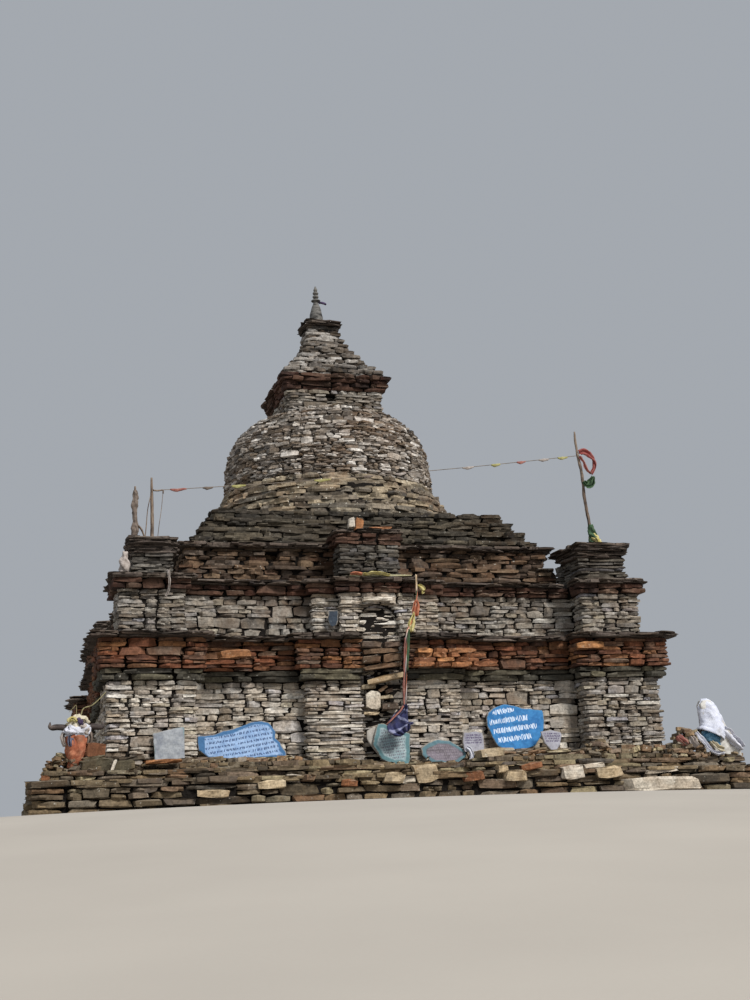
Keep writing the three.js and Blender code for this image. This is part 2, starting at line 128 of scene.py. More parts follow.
class Graph:
    """Builds a node tree, and takes every node from one method."""

    def __init__(self, tree: bpy.types.NodeTree) -> None:
        """Starts with an empty tree."""
        self.tree = tree
        tree.nodes.clear()

    def node(self, kind: str, settings: dict | None = None, sockets: dict | None = None) -> bpy.types.Node:
        """Adds a node.

        Args:
            kind: The node's type.
            settings: Its own properties, set first. "stops" gives a ramp's places and colours.
            sockets: Values or links for its inputs, by name or number.

        Returns:
            The new node.
        """
        made = self.tree.nodes.new(kind)
        for name, value in (settings or {}).items():
            if name == "stops":
                self._fill_ramp(made.color_ramp, value)
            else:
                setattr(made, name, value)
        for name, value in (sockets or {}).items():
            if isinstance(value, Shade):
                self.tree.links.new(value.socket, made.inputs[name])
            elif isinstance(value, bpy.types.NodeSocket):
                self.tree.links.new(value, made.inputs[name])
            else:
                made.inputs[name].default_value = value
        return made

    @staticmethod
    def _fill_ramp(ramp: bpy.types.ColorRamp, stops: Sequence[tuple[float, str]]) -> None:
        """Gives a colour ramp its stops.

        Args:
            ramp: The node's ramp.
            stops: Each stop's place and colour.
        """
        while len(ramp.elements) < len(stops):
            ramp.elements.new(0.5)
        for element, (place, code) in zip(ramp.elements, stops):
            element.position = place
            element.color = paint(code)


class Material(Graph):
    """One material's tree, with the few patterns that the finishes share."""

    def __init__(self, name: str) -> None:
        """Makes the material with a plain shader.

        Args:
            name: What the material is called.
        """
        self.material = bpy.data.materials.new(name)
        self.material.use_nodes = True
        super().__init__(self.material.node_tree)
        self.shader = self.node("ShaderNodeBsdfPrincipled", sockets={"Specular IOR Level": 0.25})
        output = self.node("ShaderNodeOutputMaterial", sockets={"Surface": self.shader.outputs[0]})
        output.target = "ALL"

    def place(self) -> Shade:
        """Gives the Object coordinates."""
        return Shade(self, self.node("ShaderNodeTexCoord").outputs["Object"])

    def uv(self) -> Shade:
        """Gives the piece's own UV map."""
        return Shade(self, self.node("ShaderNodeTexCoord").outputs["UV"])

    def attribute(self, name: str, output: str = "Fac") -> Shade:
        """Gives an attribute of the mesh."""
        return Shade(self, self.node("ShaderNodeAttribute", {"attribute_name": name}).outputs[output])

    def moved(self, place: Shade, by: Shade, times: float) -> Shade:
        """Moves coordinates by another vector.

        Args:
            place: The coordinates.
            by: The vector that moves them.
            times: How many times the vector is added.

        Returns:
            The moved coordinates.
        """
        sockets = {0: by, 1: (times, times, times), 2: place}
        node = self.node("ShaderNodeVectorMath", {"operation": "MULTIPLY_ADD"}, sockets)
        return Shade(self, node.outputs[0])

    def stretched(
        self, place: Shade, scale: Point, turn: Point = (0, 0, 0), centre: Point = (0, 0, 0),
    ) -> Shade:
        """Centres, turns and scales coordinates.

        Args:
            place: The coordinates.
            scale: The scale along each axis.
            turn: Turns about the axes, in radians.
            centre: The point that becomes the pattern's middle.

        Returns:
            The new coordinates.
        """
        back = self.node("ShaderNodeVectorMath", {"operation": "SUBTRACT"}, {0: place, 1: tuple(centre)})
        sockets = {"Vector": back.outputs[0], "Rotation": tuple(turn), "Scale": tuple(scale)}
        return Shade(self, self.node("ShaderNodeMapping", sockets=sockets).outputs[0])

    def apart(self, place: Shade) -> tuple[Shade, Shade, Shade]:
        """Splits coordinates into X, Y and Z."""
        node = self.node("ShaderNodeSeparateXYZ", sockets={0: place})
        return tuple(Shade(self, output) for output in node.outputs)

    def noise(self, place: Shade, scale: float, detail: float = 2.0, rough: float = 0.5) -> Shade:
        """Gives cloudy noise from 0 to 1."""
        sockets = {"Vector": place, "Scale": scale, "Detail": detail, "Roughness": rough}
        return Shade(self, self.node("ShaderNodeTexNoise", sockets=sockets).outputs[0])

    def ramp(self, value: Shade, codes: Sequence[str]) -> Shade:
        """Passes a value through evenly placed colours.

        Args:
            value: A value from 0 to 1.
            codes: The colours, from 0 to 1.

        Returns:
            The colour at the value.
        """
        stops = [(index / (len(codes) - 1), code) for index, code in enumerate(codes)]
        node = self.node("ShaderNodeValToRGB", {"stops": stops}, {0: value})
        return Shade(self, node.outputs[0])

    def mix(self, share: "Shade | float", first: "Shade | str", second: "Shade | str") -> Shade:
        """Mixes two colours.

        Args:
            share: How much of the second colour shows.
            first: The colour below, as a code or a socket.
            second: The colour above.

        Returns:
            The mixed colour.
        """
        pair = [paint(colour) if isinstance(colour, str) else colour for colour in (first, second)]
        node = self.node("ShaderNodeMix", {"data_type": "RGBA"}, {0: share, 6: pair[0], 7: pair[1]})
        return Shade(self, node.outputs[2])

    def lit(self, colour: "Shade | str", strength: Shade) -> Shade:
        """Makes a colour lighter or darker by a value.

        Args:
            colour: The colour to change.
            strength: What each channel is multiplied by.

        Returns:
            The changed colour.
        """
        colour = paint(colour)[:3] if isinstance(colour, str) else colour
        node = self.node("ShaderNodeVectorMath", {"operation": "SCALE"}, {0: colour, "Scale": strength})
        return Shade(self, node.outputs[0])

    def facing(self, axis: int) -> Shade:
        """Gives how far the surface faces along an axis, from -1 to 1."""
        return self.apart(Shade(self, self.node("ShaderNodeNewGeometry").outputs["Normal"]))[axis]

    def strokes(
        self, over: Shade, height: Shade, row: float, mark: float, band: float, zigzag: float = 0.0,
    ) -> Shade:
        """Gives rows of plain slanted strokes of uneven length.

        Args:
            over: The distance along the rows.
            height: The distance across them.
            row: The rows' spacing.
            mark: The strokes' spacing.
            band: The share of a row that its strokes fill.
            zigzag: How far each stroke leans, to one side and the other in turn.

        Returns:
            1 where a stroke lies, and 0 elsewhere.
        """
        line = height / row
        step = over / mark + line.whole() * 0.37
        spot = self.node("ShaderNodeCombineXYZ", sockets={0: step.whole(), 1: line.whole()}).outputs[0]
        chance = Shade(self, self.node("ShaderNodeTexWhiteNoise", sockets={"Vector": spot}).outputs["Value"])
        rise = (line.fraction() - 0.5) / band
        lean = ((step.whole() * 0.5).fraction() - 0.25) * zigzag if zigzag else (chance - 0.5) * 1.7
        slanted = (step.fraction() - 0.5 - rise * lean).size()
        length = (chance * 17.3).fraction() * 0.22 + (0.3 if zigzag else 0.2)
        stroke = (1 - slanted.between(0.13, 0.27)) * (length - rise.size()).between(-0.04, 0.04)
        return stroke * (chance > (0.04 if zigzag else 0.1))

    def finished(
        self, colour: Shade, roughness: "Shade | float", height: Shade, strength: float, depth: float,
    ) -> bpy.types.Material:
        """Joins the surface's colour, roughness and relief to the shader.

        Args:
            colour: The base colour.
            roughness: The roughness.
            height: The relief.
            strength: How strongly the relief shows.
            depth: How deep the relief is, in metres.

        Returns:
            The material.
        """
        sockets = {"Strength": strength, "Distance": depth, "Height": height}
        bump = self.node("ShaderNodeBump", sockets=sockets)
        self.tree.links.new(colour.socket, self.shader.inputs["Base Color"])
        self.tree.links.new(bump.outputs[0], self.shader.inputs["Normal"])
        if isinstance(roughness, Shade):
            self.tree.links.new(roughness.socket, self.shader.inputs["Roughness"])
        else:
            self.shader.inputs["Roughness"].default_value = roughness
        return self.material


@dataclass(frozen=True)
class StoneFinish:
    """Field stone: its own colours from stone to stone, layers, weather stains, lichen and dust."""

    name: str
    colours: tuple[str, ...]
    stain: str = "#7a5f48"
    stain_share: float = 0.35
    lichen: str = "#c9c6ba"
    lichen_from: float = 0.66
    dust: str = "#9a8f80"
    dust_share: float = 0.4
    warmth: str = "#8d7a62"
    relief: float = 0.6
    # What the finish's whole colour is multiplied by; in some darker copies below it is partly painted shade.
    shade: float = 1.0

    def material(self) -> bpy.types.Material:
        """Builds the material, which reads each stone's own tint and shift.

        Returns:
            The finished material.
        """
        made = Material(self.name)
        place = made.place()
        own = made.moved(place, made.attribute("shift", "Vector"), 9.0)
        layered = made.noise(made.stretched(own, (5, 5, 55)), 1.0, 3.0, 0.6)
        mottled = made.noise(own, 9.0, 4.0, 0.62)
        speckled = made.noise(own, 30.0, 3.0, 0.68)
        grain = made.noise(own, 75.0, 3.0, 0.7)
        colour = made.ramp(made.attribute("tint"), self.colours)
        colour = made.mix(made.noise(own, 5.0, 2.0).between(0.42, 0.62) * 0.35, colour, self.warmth)
        light = (mottled - 0.5) * 1.5 + (speckled - 0.5) * 2.0 + (layered - 0.5) * 0.9 + (grain - 0.5) * 0.7
        colour = made.lit(colour, 1.0 + light)
        patches = made.noise(place, 1.1, 3.0, 0.6).between(0.46, 0.68)
        stain = patches * made.noise(own, 6.0, 2.0).between(0.3, 0.6)
        colour = made.mix(stain * self.stain_share, colour, self.stain)
        lichen = made.noise(own, 21.0, 3.0, 0.65).between(self.lichen_from, self.lichen_from + 0.06)
        colour = made.mix(lichen * 0.7, colour, self.lichen)
        # Scales the whole colour by the finish's shade factor, which in some finishes is painted shade.
        colour = made.lit(colour, self.shade)
        dust = made.facing(2).between(0.55, 0.95) * made.noise(place, 13.0, 3.0).between(0.3, 0.62)
        colour = made.mix(dust * self.dust_share, colour, self.dust)
        rough = 0.97 - 0.12 * mottled
        height = 0.4 * layered + 0.3 * mottled + 0.2 * speckled + 0.1 * grain
        return made.finished(colour, rough, height, self.relief, 0.022)


@dataclass(frozen=True)
class EarthFinish:
    """The dark packed rubble and earth behind the stones, seen only in the joints."""

    name: str = "packed_earth"
    colours: tuple[str, ...] = ("#0b0908", "#171310", "#241d18")

    def material(self) -> bpy.types.Material:
        """Builds the material.

        Returns:
            The finished material.
        """
        made = Material(self.name)
        place = made.place()
        lumps = made.noise(place, 26.0, 4.0, 0.7)
        return made.finished(made.ramp(lumps, self.colours), 1.0, lumps, 0.9, 0.03)


PALE_RUBBLE = StoneFinish(
    "pale_rubble",
    (
        "#5b554e", "#8f8880", "#aba499", "#777068", "#bbb5ab", "#958a7b", "#cbc6bc", "#9a9590", "#6b645c",
        "#aea593", "#9d9ba0",
    ),
    lichen="#cfcbc0",
)
# A darker copy of the pale rubble for the right-hand piers: painted shade.
SHADED_RUBBLE = replace(PALE_RUBBLE, name="shaded_rubble", shade=0.74)
# A darker copy of the pale rubble for the second storey and the harmika: partly their own darker tone, partly
# painted shade under the cap slabs.
DIM_RUBBLE = replace(PALE_RUBBLE, name="dim_rubble", shade=0.62, stain_share=0.5)
# A much darker copy of the pale rubble for the turrets and the dormers: painted shade under their caps, with
# heavier stains.
DARK_RUBBLE = replace(PALE_RUBBLE, name="dark_rubble", shade=0.27, stain="#4d3c2c", stain_share=0.6)
BROWN_RUBBLE = StoneFinish(
    "brown_rubble",
    ("#352b25", "#5b4a3b", "#715b47", "#433a33", "#7b6752", "#553d2d", "#665c53", "#4a3b2f"),
    stain="#6b4429",
    stain_share=0.4,
    warmth="#5f4c3a",
    shade=0.8,
)
# The red band's stone; its palette is darkened partly as painted shade.
RED_STONE = StoneFinish(
    "red_stone",
    (
        "#33231c", "#5a3a2a", "#6f4530", "#45322a", "#6a503e", "#8c6240", "#4b3125", "#6b5d50", "#7a4a33",
        "#3f332d",
    ),
    stain="#57301e",
    stain_share=0.45,
    lichen="#a58d75",
    lichen_from=0.7,
    warmth="#70492f",
    shade=0.92,
)
CORNICE_STONE = replace(
    RED_STONE, name="cornice_stone",
    colours=("#241915", "#3d2b24", "#50392d", "#30231f", "#5b4538", "#463128", "#6c5748", "#2b201b"),
    warmth="#4a3226", shade=0.8,
)
CAP_SLATE = StoneFinish(
    "cap_slate",
    ("#292423", "#433b36", "#564d45", "#352e2a", "#635952", "#483c32"),
    stain="#3a2b20",
    stain_share=0.45,
    lichen="#85806f",
    lichen_from=0.68,
    dust="#6f675c",
    warmth="#4a4038",
)
# Grey-green corbel slabs, darkened partly as painted shade under the red band above them.
CORBEL_STONE = StoneFinish(
    "corbel_stone",
    ("#2b2925", "#46433b", "#585449", "#37352f", "#68624f", "#4b473e"),
    stain="#3d362a",
    stain_share=0.5,
    warmth="#423d34",
    shade=0.85,
)
# Dark slate of the terraces: partly its own colour, partly painted shade.
TERRACE_STONE = StoneFinish(
    "terrace_stone",
    ("#2d2a27", "#4d4840", "#5f584b", "#3c3732", "#6a6050", "#35322d", "#575047", "#716858"),
    stain="#4d3820",
    stain_share=0.5,
    dust="#7c7466",
    warmth="#4c4335",
    shade=0.62,
)
SKIRT_STONE = replace(TERRACE_STONE, name="skirt_stone", shade=2.1, stain="#6d543d", stain_share=0.35)
DOME_STONE = StoneFinish(
    "dome_stone",
    (
        "#2c2825", "#655f59", "#a59e96", "#443f3a", "#7b6f63", "#c2bcb4", "#574d44", "#86807a", "#d3cec7",
        "#39342f",
    ),
    stain="#6f5338",
    stain_share=0.4,
    warmth="#7c6a54",
)
ROOF_STONE = replace(DOME_STONE, name="roof_stone", shade=0.62, stain="#5a4a3a")
FIELD_STONE = StoneFinish(
    "field_stone",
    (
        "#37322c", "#63584a", "#7d6d55", "#49433b", "#8d7c60", "#745a43", "#575450", "#a39677", "#7b7266",
        "#80634a",
    ),
    stain="#5f482f",
    stain_share=0.4,
    dust="#8a8070",
    warmth="#6a5a44",
    shade=0.72,
)
HEAP_STONE = replace(FIELD_STONE, name="heap_stone", shade=1.2, stain_share=0.25)
DARK_STONE = replace(
    FIELD_STONE, name="dark_stone", colours=("#4b4638", "#5a5342"), stain_share=0.2, dust_share=0.2,
    shade=0.9,
)
TAN_STONE = replace(
    FIELD_STONE, name="tan_stone", colours=("#a3937a", "#8f7f68", "#b3a58c"), stain="#8a6a42",
    stain_share=0.5, warmth="#b09a78", shade=1.0,
)
WHITE_STONE = replace(
    PALE_RUBBLE, name="white_stone", colours=("#b9b0a2", "#c9c1b4", "#aea596"), stain_share=0.25,
)
ORANGE_STONE = replace(
    RED_STONE, name="orange_stone", colours=("#7d5238", "#9a6a48", "#6b4631", "#a9794f", "#87583c"),
    lichen_from=0.62,
)


@dataclass(frozen=True)
class Run:
    """A smooth stretch of a wall's plan, followed with the open air on its right.

    A corner that stands out has a point just outside it, which tells whether another piece hides it.
    """

    points: np.ndarray
    start_corner: np.ndarray | None = None
    end_corner: np.ndarray | None = None

    def lengths(self) -> np.ndarray:
        """Gives how far along each point lies."""
        steps = np.linalg.norm(np.diff(self.points, axis=0), axis=1)
        return np.concatenate([[0.0], np.cumsum(steps)])

    def length(self) -> float:
        """Gives the whole length."""
        return float(self.lengths()[-1])

    def at(self, along: float) -> np.ndarray:
        """Gives the point that lies so far along, also a little past either end.

        Args:
            along: How far along the run.

        Returns:
            The point in plan.
        """
        marks = self.lengths()
        if along < 0 or along > marks[-1]:
            first, second = (0, 1) if along < 0 else (-1, -2)
            away = self.points[first] - self.points[second]
            past = -along if along < 0 else along - marks[-1]
            return self.points[first] + away / np.linalg.norm(away) * past
        return np.array([np.interp(along, marks, self.points[:, axis]) for axis in (0, 1)])


class Solid:
    """One node of the frame, ready to be sliced and probed."""

    CORNER = math.cos(math.radians(24))
    STRAIGHT = math.cos(math.radians(1))
    PROBE = 0.03
    RAY = Vector((0.613, 0.337, 0.715)).normalized()
    MOST_CROSSINGS = 64
    PAST_HIT = 1e-5
    UPRIGHT = 0.05
    LEVEL_GAP = 0.012
    SHORTEST_CUT = 1e-5
    CHAIN_GAP = 2e-3

    def __init__(self, name: str) -> None:
        """Reads the node's triangles.

        Args:
            name: The CAD node.
        """
        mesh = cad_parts[name].data
        mesh.calc_loop_triangles()
        places = np.array([vertex.co[:] for vertex in mesh.vertices])
        faces = np.array([triangle.vertices[:] for triangle in mesh.loop_triangles])
        self.name = name
        self.corners = places[faces]
        cross = np.cross(self.corners[:, 1] - self.corners[:, 0], self.corners[:, 2] - self.corners[:, 0])
        self.normals = cross / np.maximum(np.linalg.norm(cross, axis=1), 1e-12)[:, None]
        self.low, self.high = places.min(0), places.max(0)
        self.tree = BVHTree.FromPolygons(places.tolist(), faces.tolist())

    def holds(self, point: Point) -> bool:
        """Says whether a point lies inside the solid.

        Args:
            point: The place to look at.

        Returns:
            True where the place is inside.
        """
        if any(point[axis] < self.low[axis] or point[axis] > self.high[axis] for axis in range(3)):
            return False
        start, crossings = Vector(point), 0
        while crossings < self.MOST_CROSSINGS:
            place = self.tree.ray_cast(start, self.RAY)[0]
            if place is None:
                break
            crossings += 1
            start = place + self.RAY * self.PAST_HIT
        return crossings % 2 == 1

    def levels(self, low: float, high: float) -> list[float]:
        """Gives the heights between two others where the plan changes.

        Args:
            low: The lower height.
            high: The upper height.

        Returns:
            The heights, from the lowest to the highest, with both ends.
        """
        upright = np.abs(self.normals[:, 2]) < self.UPRIGHT
        heights = np.unique(np.round(self.corners[upright][:, :, 2], 3))
        inner = [z for z in heights if low + self.LEVEL_GAP < z < high - self.LEVEL_GAP]
        return [low, *inner, high]

    def _segments(self, height: float) -> list[tuple[np.ndarray, np.ndarray]]:
        """Cuts the triangles at a height, each cut with the open air on its right.

        Args:
            height: Where the cut is made.

        Returns:
            The start and the end of each cut, in plan.
        """
        above = self.corners[:, :, 2] > height
        mixed = np.flatnonzero(above.any(1) & ~above.all(1))
        segments = []
        for index in mixed:
            ends = []
            for first, second in ((0, 1), (1, 2), (2, 0)):
                a, b = self.corners[index][first], self.corners[index][second]
                if (a[2] > height) != (b[2] > height):
                    ends.append((a + (b - a) * (height - a[2]) / (b[2] - a[2]))[:2])
            normal = self.normals[index]
            forward = np.array([-normal[1], normal[0]])
            if np.dot(ends[1] - ends[0], forward) < 0:
                ends.reverse()
            if np.linalg.norm(ends[1] - ends[0]) > self.SHORTEST_CUT:
                segments.append((ends[0], ends[1]))
        return segments

    def runs(self, height: float) -> list[Run]:
        """Gives the plan at a height, divided at its corners.

        Args:
            height: Where the plan is taken.

        Returns:
            The runs of every loop.
        """
        left = self._segments(height)
        runs = []
        while left:
            start, end = left.pop()
            chain = [start, end]
            while left:
                gaps = [np.linalg.norm(begin - chain[-1]) for begin, _ in left]
                nearest = int(np.argmin(gaps))
                if gaps[nearest] > self.CHAIN_GAP:
                    break
                chain.append(left.pop(nearest)[1])
            runs += self._divided(np.array(chain[:-1]))
        return runs

    @staticmethod
    def _directions(loop: np.ndarray) -> tuple[np.ndarray, np.ndarray]:
        """Gives the direction before and after each point of a closed loop.

        Args:
            loop: The loop's points in order.

        Returns:
            The directions that lead to the points, and those that lead on from them.
        """
        ahead = np.roll(loop, -1, 0) - loop
        ahead /= np.linalg.norm(ahead, axis=1)[:, None]
        return np.roll(ahead, 1, 0), ahead

    def _divided(self, loop: np.ndarray) -> list[Run]:
        """Divides one closed loop at its corners.

        Args:
            loop: The loop's points in order.

        Returns:
            The runs between its corners.
        """
        if len(loop) < 3:
            return []
        behind, ahead = self._directions(loop)
        keep = (ahead * behind).sum(1) < self.STRAIGHT
        loop = loop[keep] if keep.sum() > 2 else loop
        behind, ahead = self._directions(loop)
        corners = np.flatnonzero((ahead * behind).sum(1) < self.CORNER)
        turns = behind[:, 0] * ahead[:, 1] - behind[:, 1] * ahead[:, 0]
        if not len(corners):
            return [Run(np.vstack([loop, loop[:1]]))]
        away = (behind - ahead) * self.PROBE
        outside = {index: loop[index] + away[index] if turns[index] > 0 else None for index in corners}
        count = len(loop)
        runs = []
        for first, last in zip(corners, np.roll(corners, -1)):
            steps = (last - first) % count or count
            indices = [(first + step) % count for step in range(steps + 1)]
            runs.append(Run(loop[indices], outside[first], outside[last]))
        return runs

    def shrunken(self, name: str, sides: float, top: float) -> bpy.types.Object:
        """Makes a copy whose sides and top lie a little inside the solid.

        Args:
            name: The new object's name.
            sides: How far the sides move in.
            top: How far upward faces move down.

        Returns:
            The copy, in the scene.
        """
        shape = bmesh.new()
        shape.from_mesh(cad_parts[self.name].data)
        bmesh.ops.remove_doubles(shape, verts=shape.verts, dist=1e-4)
        shape.normal_update()
        moves = {}
        for vertex in shape.verts:
            normals = {tuple(round(part, 2) for part in face.normal) for face in vertex.link_faces}
            rows = np.array([normal for normal in normals if np.linalg.norm(normal) > 0.5])
            if len(rows):
                wanted = np.where(rows[:, 2] > 0.5, -top, np.where(rows[:, 2] < -0.5, 0.0, -sides))
                moves[vertex] = np.linalg.lstsq(rows, wanted, rcond=1e-2)[0]
        for vertex, move in moves.items():
            vertex.co += Vector(move)
        return to_object(shape, name)


def to_object(shape: bmesh.types.BMesh, name: str) -> bpy.types.Object:
    """Puts a mesh into the scene as an object at the origin, and frees it.

    Args:
        shape: The mesh that is moved into the scene.
        name: What the object is called.

    Returns:
        The object.
    """
    mesh = bpy.data.meshes.new(name)
    shape.to_mesh(mesh)
    shape.free()
    made = bpy.data.objects.new(name, mesh)
    bpy.context.scene.collection.objects.link(made)
    return made


def joined(name: str, parts: Sequence[bpy.types.Object]) -> bpy.types.Object:
    """Joins objects into one, which keeps each part's materials.

    Args:
        name: The joined object's name.
        parts: The objects, at least one.

    Returns:
        The joined object.
    """
    first = parts[0]
    if len(parts) > 1:
        with bpy.context.temp_override(active_object=first, selected_editable_objects=list(parts)):
            bpy.ops.object.join()
    first.name = name
    first.data.name = name
    return first


class StoneShape(Enum):
    """The three kinds of stones in the stock: thin slabs, thick blocks and flat paving."""

    SLAB = "slab"
    BLOCK = "block"
    FLAG = "flag"


@dataclass(frozen=True)
class StoneCut:
    """How the stones of one stock are split: unit stones whose outer face looks to -Y."""

    count: int
    face_points: int
    ragged: float
    inset: float
    edge: float
    rings: int
    taper: float
    slant: float

    def outline(self, rng: np.random.Generator) -> list[tuple[float, float]]:
        """Draws one plan outline, with most of its points along the outer face.

        Args:
            rng: The source of chances.

        Returns:
            The outline's points, in order.
        """
        face = []
        for index in range(self.face_points):
            across = -0.5 + index / (self.face_points - 1)
            inner = 0 < index < self.face_points - 1
            sideways = rng.uniform(-0.06, 0.06) if inner else -math.copysign(rng.uniform(0, 0.05), across)
            back = rng.uniform(0, self.ragged) * (1.0 if inner else 2.0)
            face.append((across + sideways, -0.5 + back))
        right = (0.5 - rng.uniform(0, 0.04), rng.uniform(-0.1, 0.2))
        left = (-0.5 + rng.uniform(0, 0.04), rng.uniform(-0.1, 0.2))
        back_right = (0.5 - rng.uniform(0.02, 0.12), 0.5 - rng.uniform(0, 0.1))
        back_left = (-0.5 + rng.uniform(0.02, 0.12), 0.5 - rng.uniform(0, 0.1))
        return [*face, right, back_right, back_left, left]

    def mesh(self, name: str, rng: np.random.Generator) -> bpy.types.Object:
        """Splits one stone.

        Args:
            name: Its name.
            rng: Where its chances come from.

        Returns:
            The stone, one unit long, deep and high, in no scene.
        """
        outline = self.outline(rng)
        shape = bmesh.new()
        heights = [-0.5, -0.5 + self.edge, 0.5 - self.edge, 0.5] if self.rings == 4 else [-0.5, 0.0, 0.5]
        tapers = rng.uniform(0, self.taper, (2, 2))
        rings = []
        for level, height in enumerate(heights):
            outer = level in (0, len(heights) - 1)
            ring = []
            for x, y in outline:
                shrink = 1 - (rng.uniform(0.3, 1.0) * self.inset * 2 if outer else rng.uniform(0, 0.03))
                taper = tapers[int(height > 0), int(x > 0)] * max(0.0, abs(x) * 2 - 0.25) ** 1.5
                lift = rng.uniform(-0.05, 0.05) - math.copysign(taper if outer else 0.0, height)
                shove = rng.uniform(-0.5, 0.5) * self.ragged if y < -0.3 else 0.0
                slide = rng.uniform(-1, 1) * self.slant if abs(x) > 0.4 else 0.0
                ring.append(shape.verts.new((x * shrink + slide, y * shrink + shove, height + lift)))
            rings.append(ring)
        count = len(outline)
        for lower, upper in zip(rings, rings[1:]):
            for index in range(count):
                after = (index + 1) % count
                shape.faces.new((lower[index], lower[after], upper[after], upper[index]))
        shape.faces.new(rings[-1])
        shape.faces.new(list(reversed(rings[0])))
        mesh = bpy.data.meshes.new(name)
        shape.to_mesh(mesh)
        shape.free()
        return bpy.data.objects.new(name, mesh)


class StoneStock:
    """All the stone shapes, kept in one collection that the masonry's tree picks from."""

    CUTS = {
        StoneShape.SLAB: StoneCut(18, 5, 0.16, 0.025, 0.2, 3, 0.4, 0.04),
        StoneShape.BLOCK: StoneCut(16, 4, 0.16, 0.045, 0.16, 4, 0.26, 0.08),
        StoneShape.FLAG: StoneCut(6, 4, 0.1, 0.04, 0.2, 3, 0.1, 0.02),
    }

    def __init__(self, seed: int = 7) -> None:
        """Cuts every shape.

        Args:
            seed: What fixes the shapes.
        """
        rng = np.random.default_rng(seed)
        self.collection = bpy.data.collections.new("stone_stock")
        self.first: dict[StoneShape, int] = {}
        total = 0
        for shape, cut in self.CUTS.items():
            self.first[shape] = total
            for _ in range(cut.count):
                self.collection.objects.link(cut.mesh(f"stone_{total:03d}", rng))
                total += 1

    def pick(self, shape: StoneShape, rng: np.random.Generator) -> int:
        """Picks the number of one stone of a stock."""
        return self.first[shape] + int(rng.integers(self.CUTS[shape].count))


class StoneTree:
    """A Geometry Nodes tree that sets a stone on every point, turned and sized as the point says."""

    def __init__(self, stock: StoneStock) -> None:
        """Builds the tree.

        Args:
            stock: The shapes that the tree picks from.
        """
        self.group = bpy.data.node_groups.new("set_stones", "GeometryNodeTree")
        face = self.group.interface
        face.new_socket("Geometry", in_out="OUTPUT", socket_type="NodeSocketGeometry")
        face.new_socket("Geometry", in_out="INPUT", socket_type="NodeSocketGeometry")
        stones = face.new_socket("Stones", in_out="INPUT", socket_type="NodeSocketCollection")
        finish = face.new_socket("Finish", in_out="INPUT", socket_type="NodeSocketMaterial")
        seed = face.new_socket("Seed", in_out="INPUT", socket_type="NodeSocketInt")
        self.sockets = {"stones": stones.identifier, "finish": finish.identifier, "seed": seed.identifier}
        self.stock = stock

        graph = Graph(self.group)
        given = graph.node("NodeGroupInput").outputs
        info = graph.node(
            "GeometryNodeCollectionInfo",
            sockets={"Collection": given["Stones"], "Separate Children": True, "Reset Children": True},
        )
        angles = self._named(graph, "turn", "FLOAT_VECTOR")
        turn = graph.node("FunctionNodeEulerToRotation", sockets={0: angles})
        laid = graph.node(
            "GeometryNodeInstanceOnPoints",
            sockets={
                "Points": given["Geometry"],
                "Instance": info.outputs[0],
                "Pick Instance": True,
                "Instance Index": self._named(graph, "pick", "INT"),
                "Rotation": turn.outputs[0],
                "Scale": self._named(graph, "size", "FLOAT_VECTOR"),
            },
        ).outputs[0]
        for name, kind in (("tint", "FLOAT"), ("shift", "FLOAT_VECTOR")):
            chance = graph.node("FunctionNodeRandomValue", {"data_type": kind}, {"Seed": given["Seed"]})
            value = next(output for output in chance.outputs if output.enabled)
            settings = {"data_type": kind, "domain": "INSTANCE"}
            laid = graph.node(
                "GeometryNodeStoreNamedAttribute",
                settings,
                {"Geometry": laid, "Name": name, "Value": value},
            ).outputs[0]
        for name in ("turn", "pick", "size"):
            sockets = {"Geometry": laid, "Name": name}
            laid = graph.node("GeometryNodeRemoveAttribute", sockets=sockets).outputs[0]
        whole = graph.node("GeometryNodeRealizeInstances", sockets={"Geometry": laid})
        dressed = graph.node(
            "GeometryNodeSetMaterial",
            sockets={"Geometry": whole.outputs[0], "Material": given["Finish"]},
        )
        graph.node("NodeGroupOutput", sockets={0: dressed.outputs[0]})

    @staticmethod
    def _named(graph: Graph, name: str, kind: str) -> bpy.types.NodeSocket:
        """Reads one of the points' attributes."""
        node = graph.node("GeometryNodeInputNamedAttribute", {"data_type": kind}, {"Name": name})
        return next(output for output in node.outputs if output.enabled)

    def built(
        self, name: str, points: bpy.types.Mesh, finish: bpy.types.Material, seed: int,
    ) -> bpy.types.Object:
        """Sets the stones and returns them as a plain mesh.

        Args:
            name: The new object's name.
            points: One vertex for each stone, with its attributes.
            finish: The stones' material.
            seed: The seed of their tints.

        Returns:
            The stones, in the scene.
        """
        carrier = bpy.data.objects.new(name + "_points", points)
        bpy.context.scene.collection.objects.link(carrier)
        modifier = carrier.modifiers.new("stones", "NODES")
        modifier.node_group = self.group
        modifier[self.sockets["stones"]] = self.stock.collection
        modifier[self.sockets["finish"]] = finish
        modifier[self.sockets["seed"]] = seed
        graph = bpy.context.evaluated_depsgraph_get()
        mesh = bpy.data.meshes.new_from_object(carrier.evaluated_get(graph), depsgraph=graph)
        carrier.modifiers.clear()
        bpy.data.objects.remove(carrier)
        made = bpy.data.objects.new(name, mesh)
        bpy.context.scene.collection.objects.link(made)
        return made


@dataclass(frozen=True)
class Laying:
    """How one kind of masonry is laid: the sizes of its stones and how true they lie, in metres."""

    band: Range
    tallest: float
    length: Range
    depth: Range = (0.14, 0.2)
    stand: Range = (-0.022, 0.01)
    blocks: float = 0.25
    splits: float = 0.35
    gap: float = 0.007
    tilt: float = 0.035
    wave: float = 0.02
    quoin: Range = (0.28, 0.42)
    shape: StoneShape = StoneShape.SLAB
    passes: tuple[float, ...] = (1.0, 0.55)


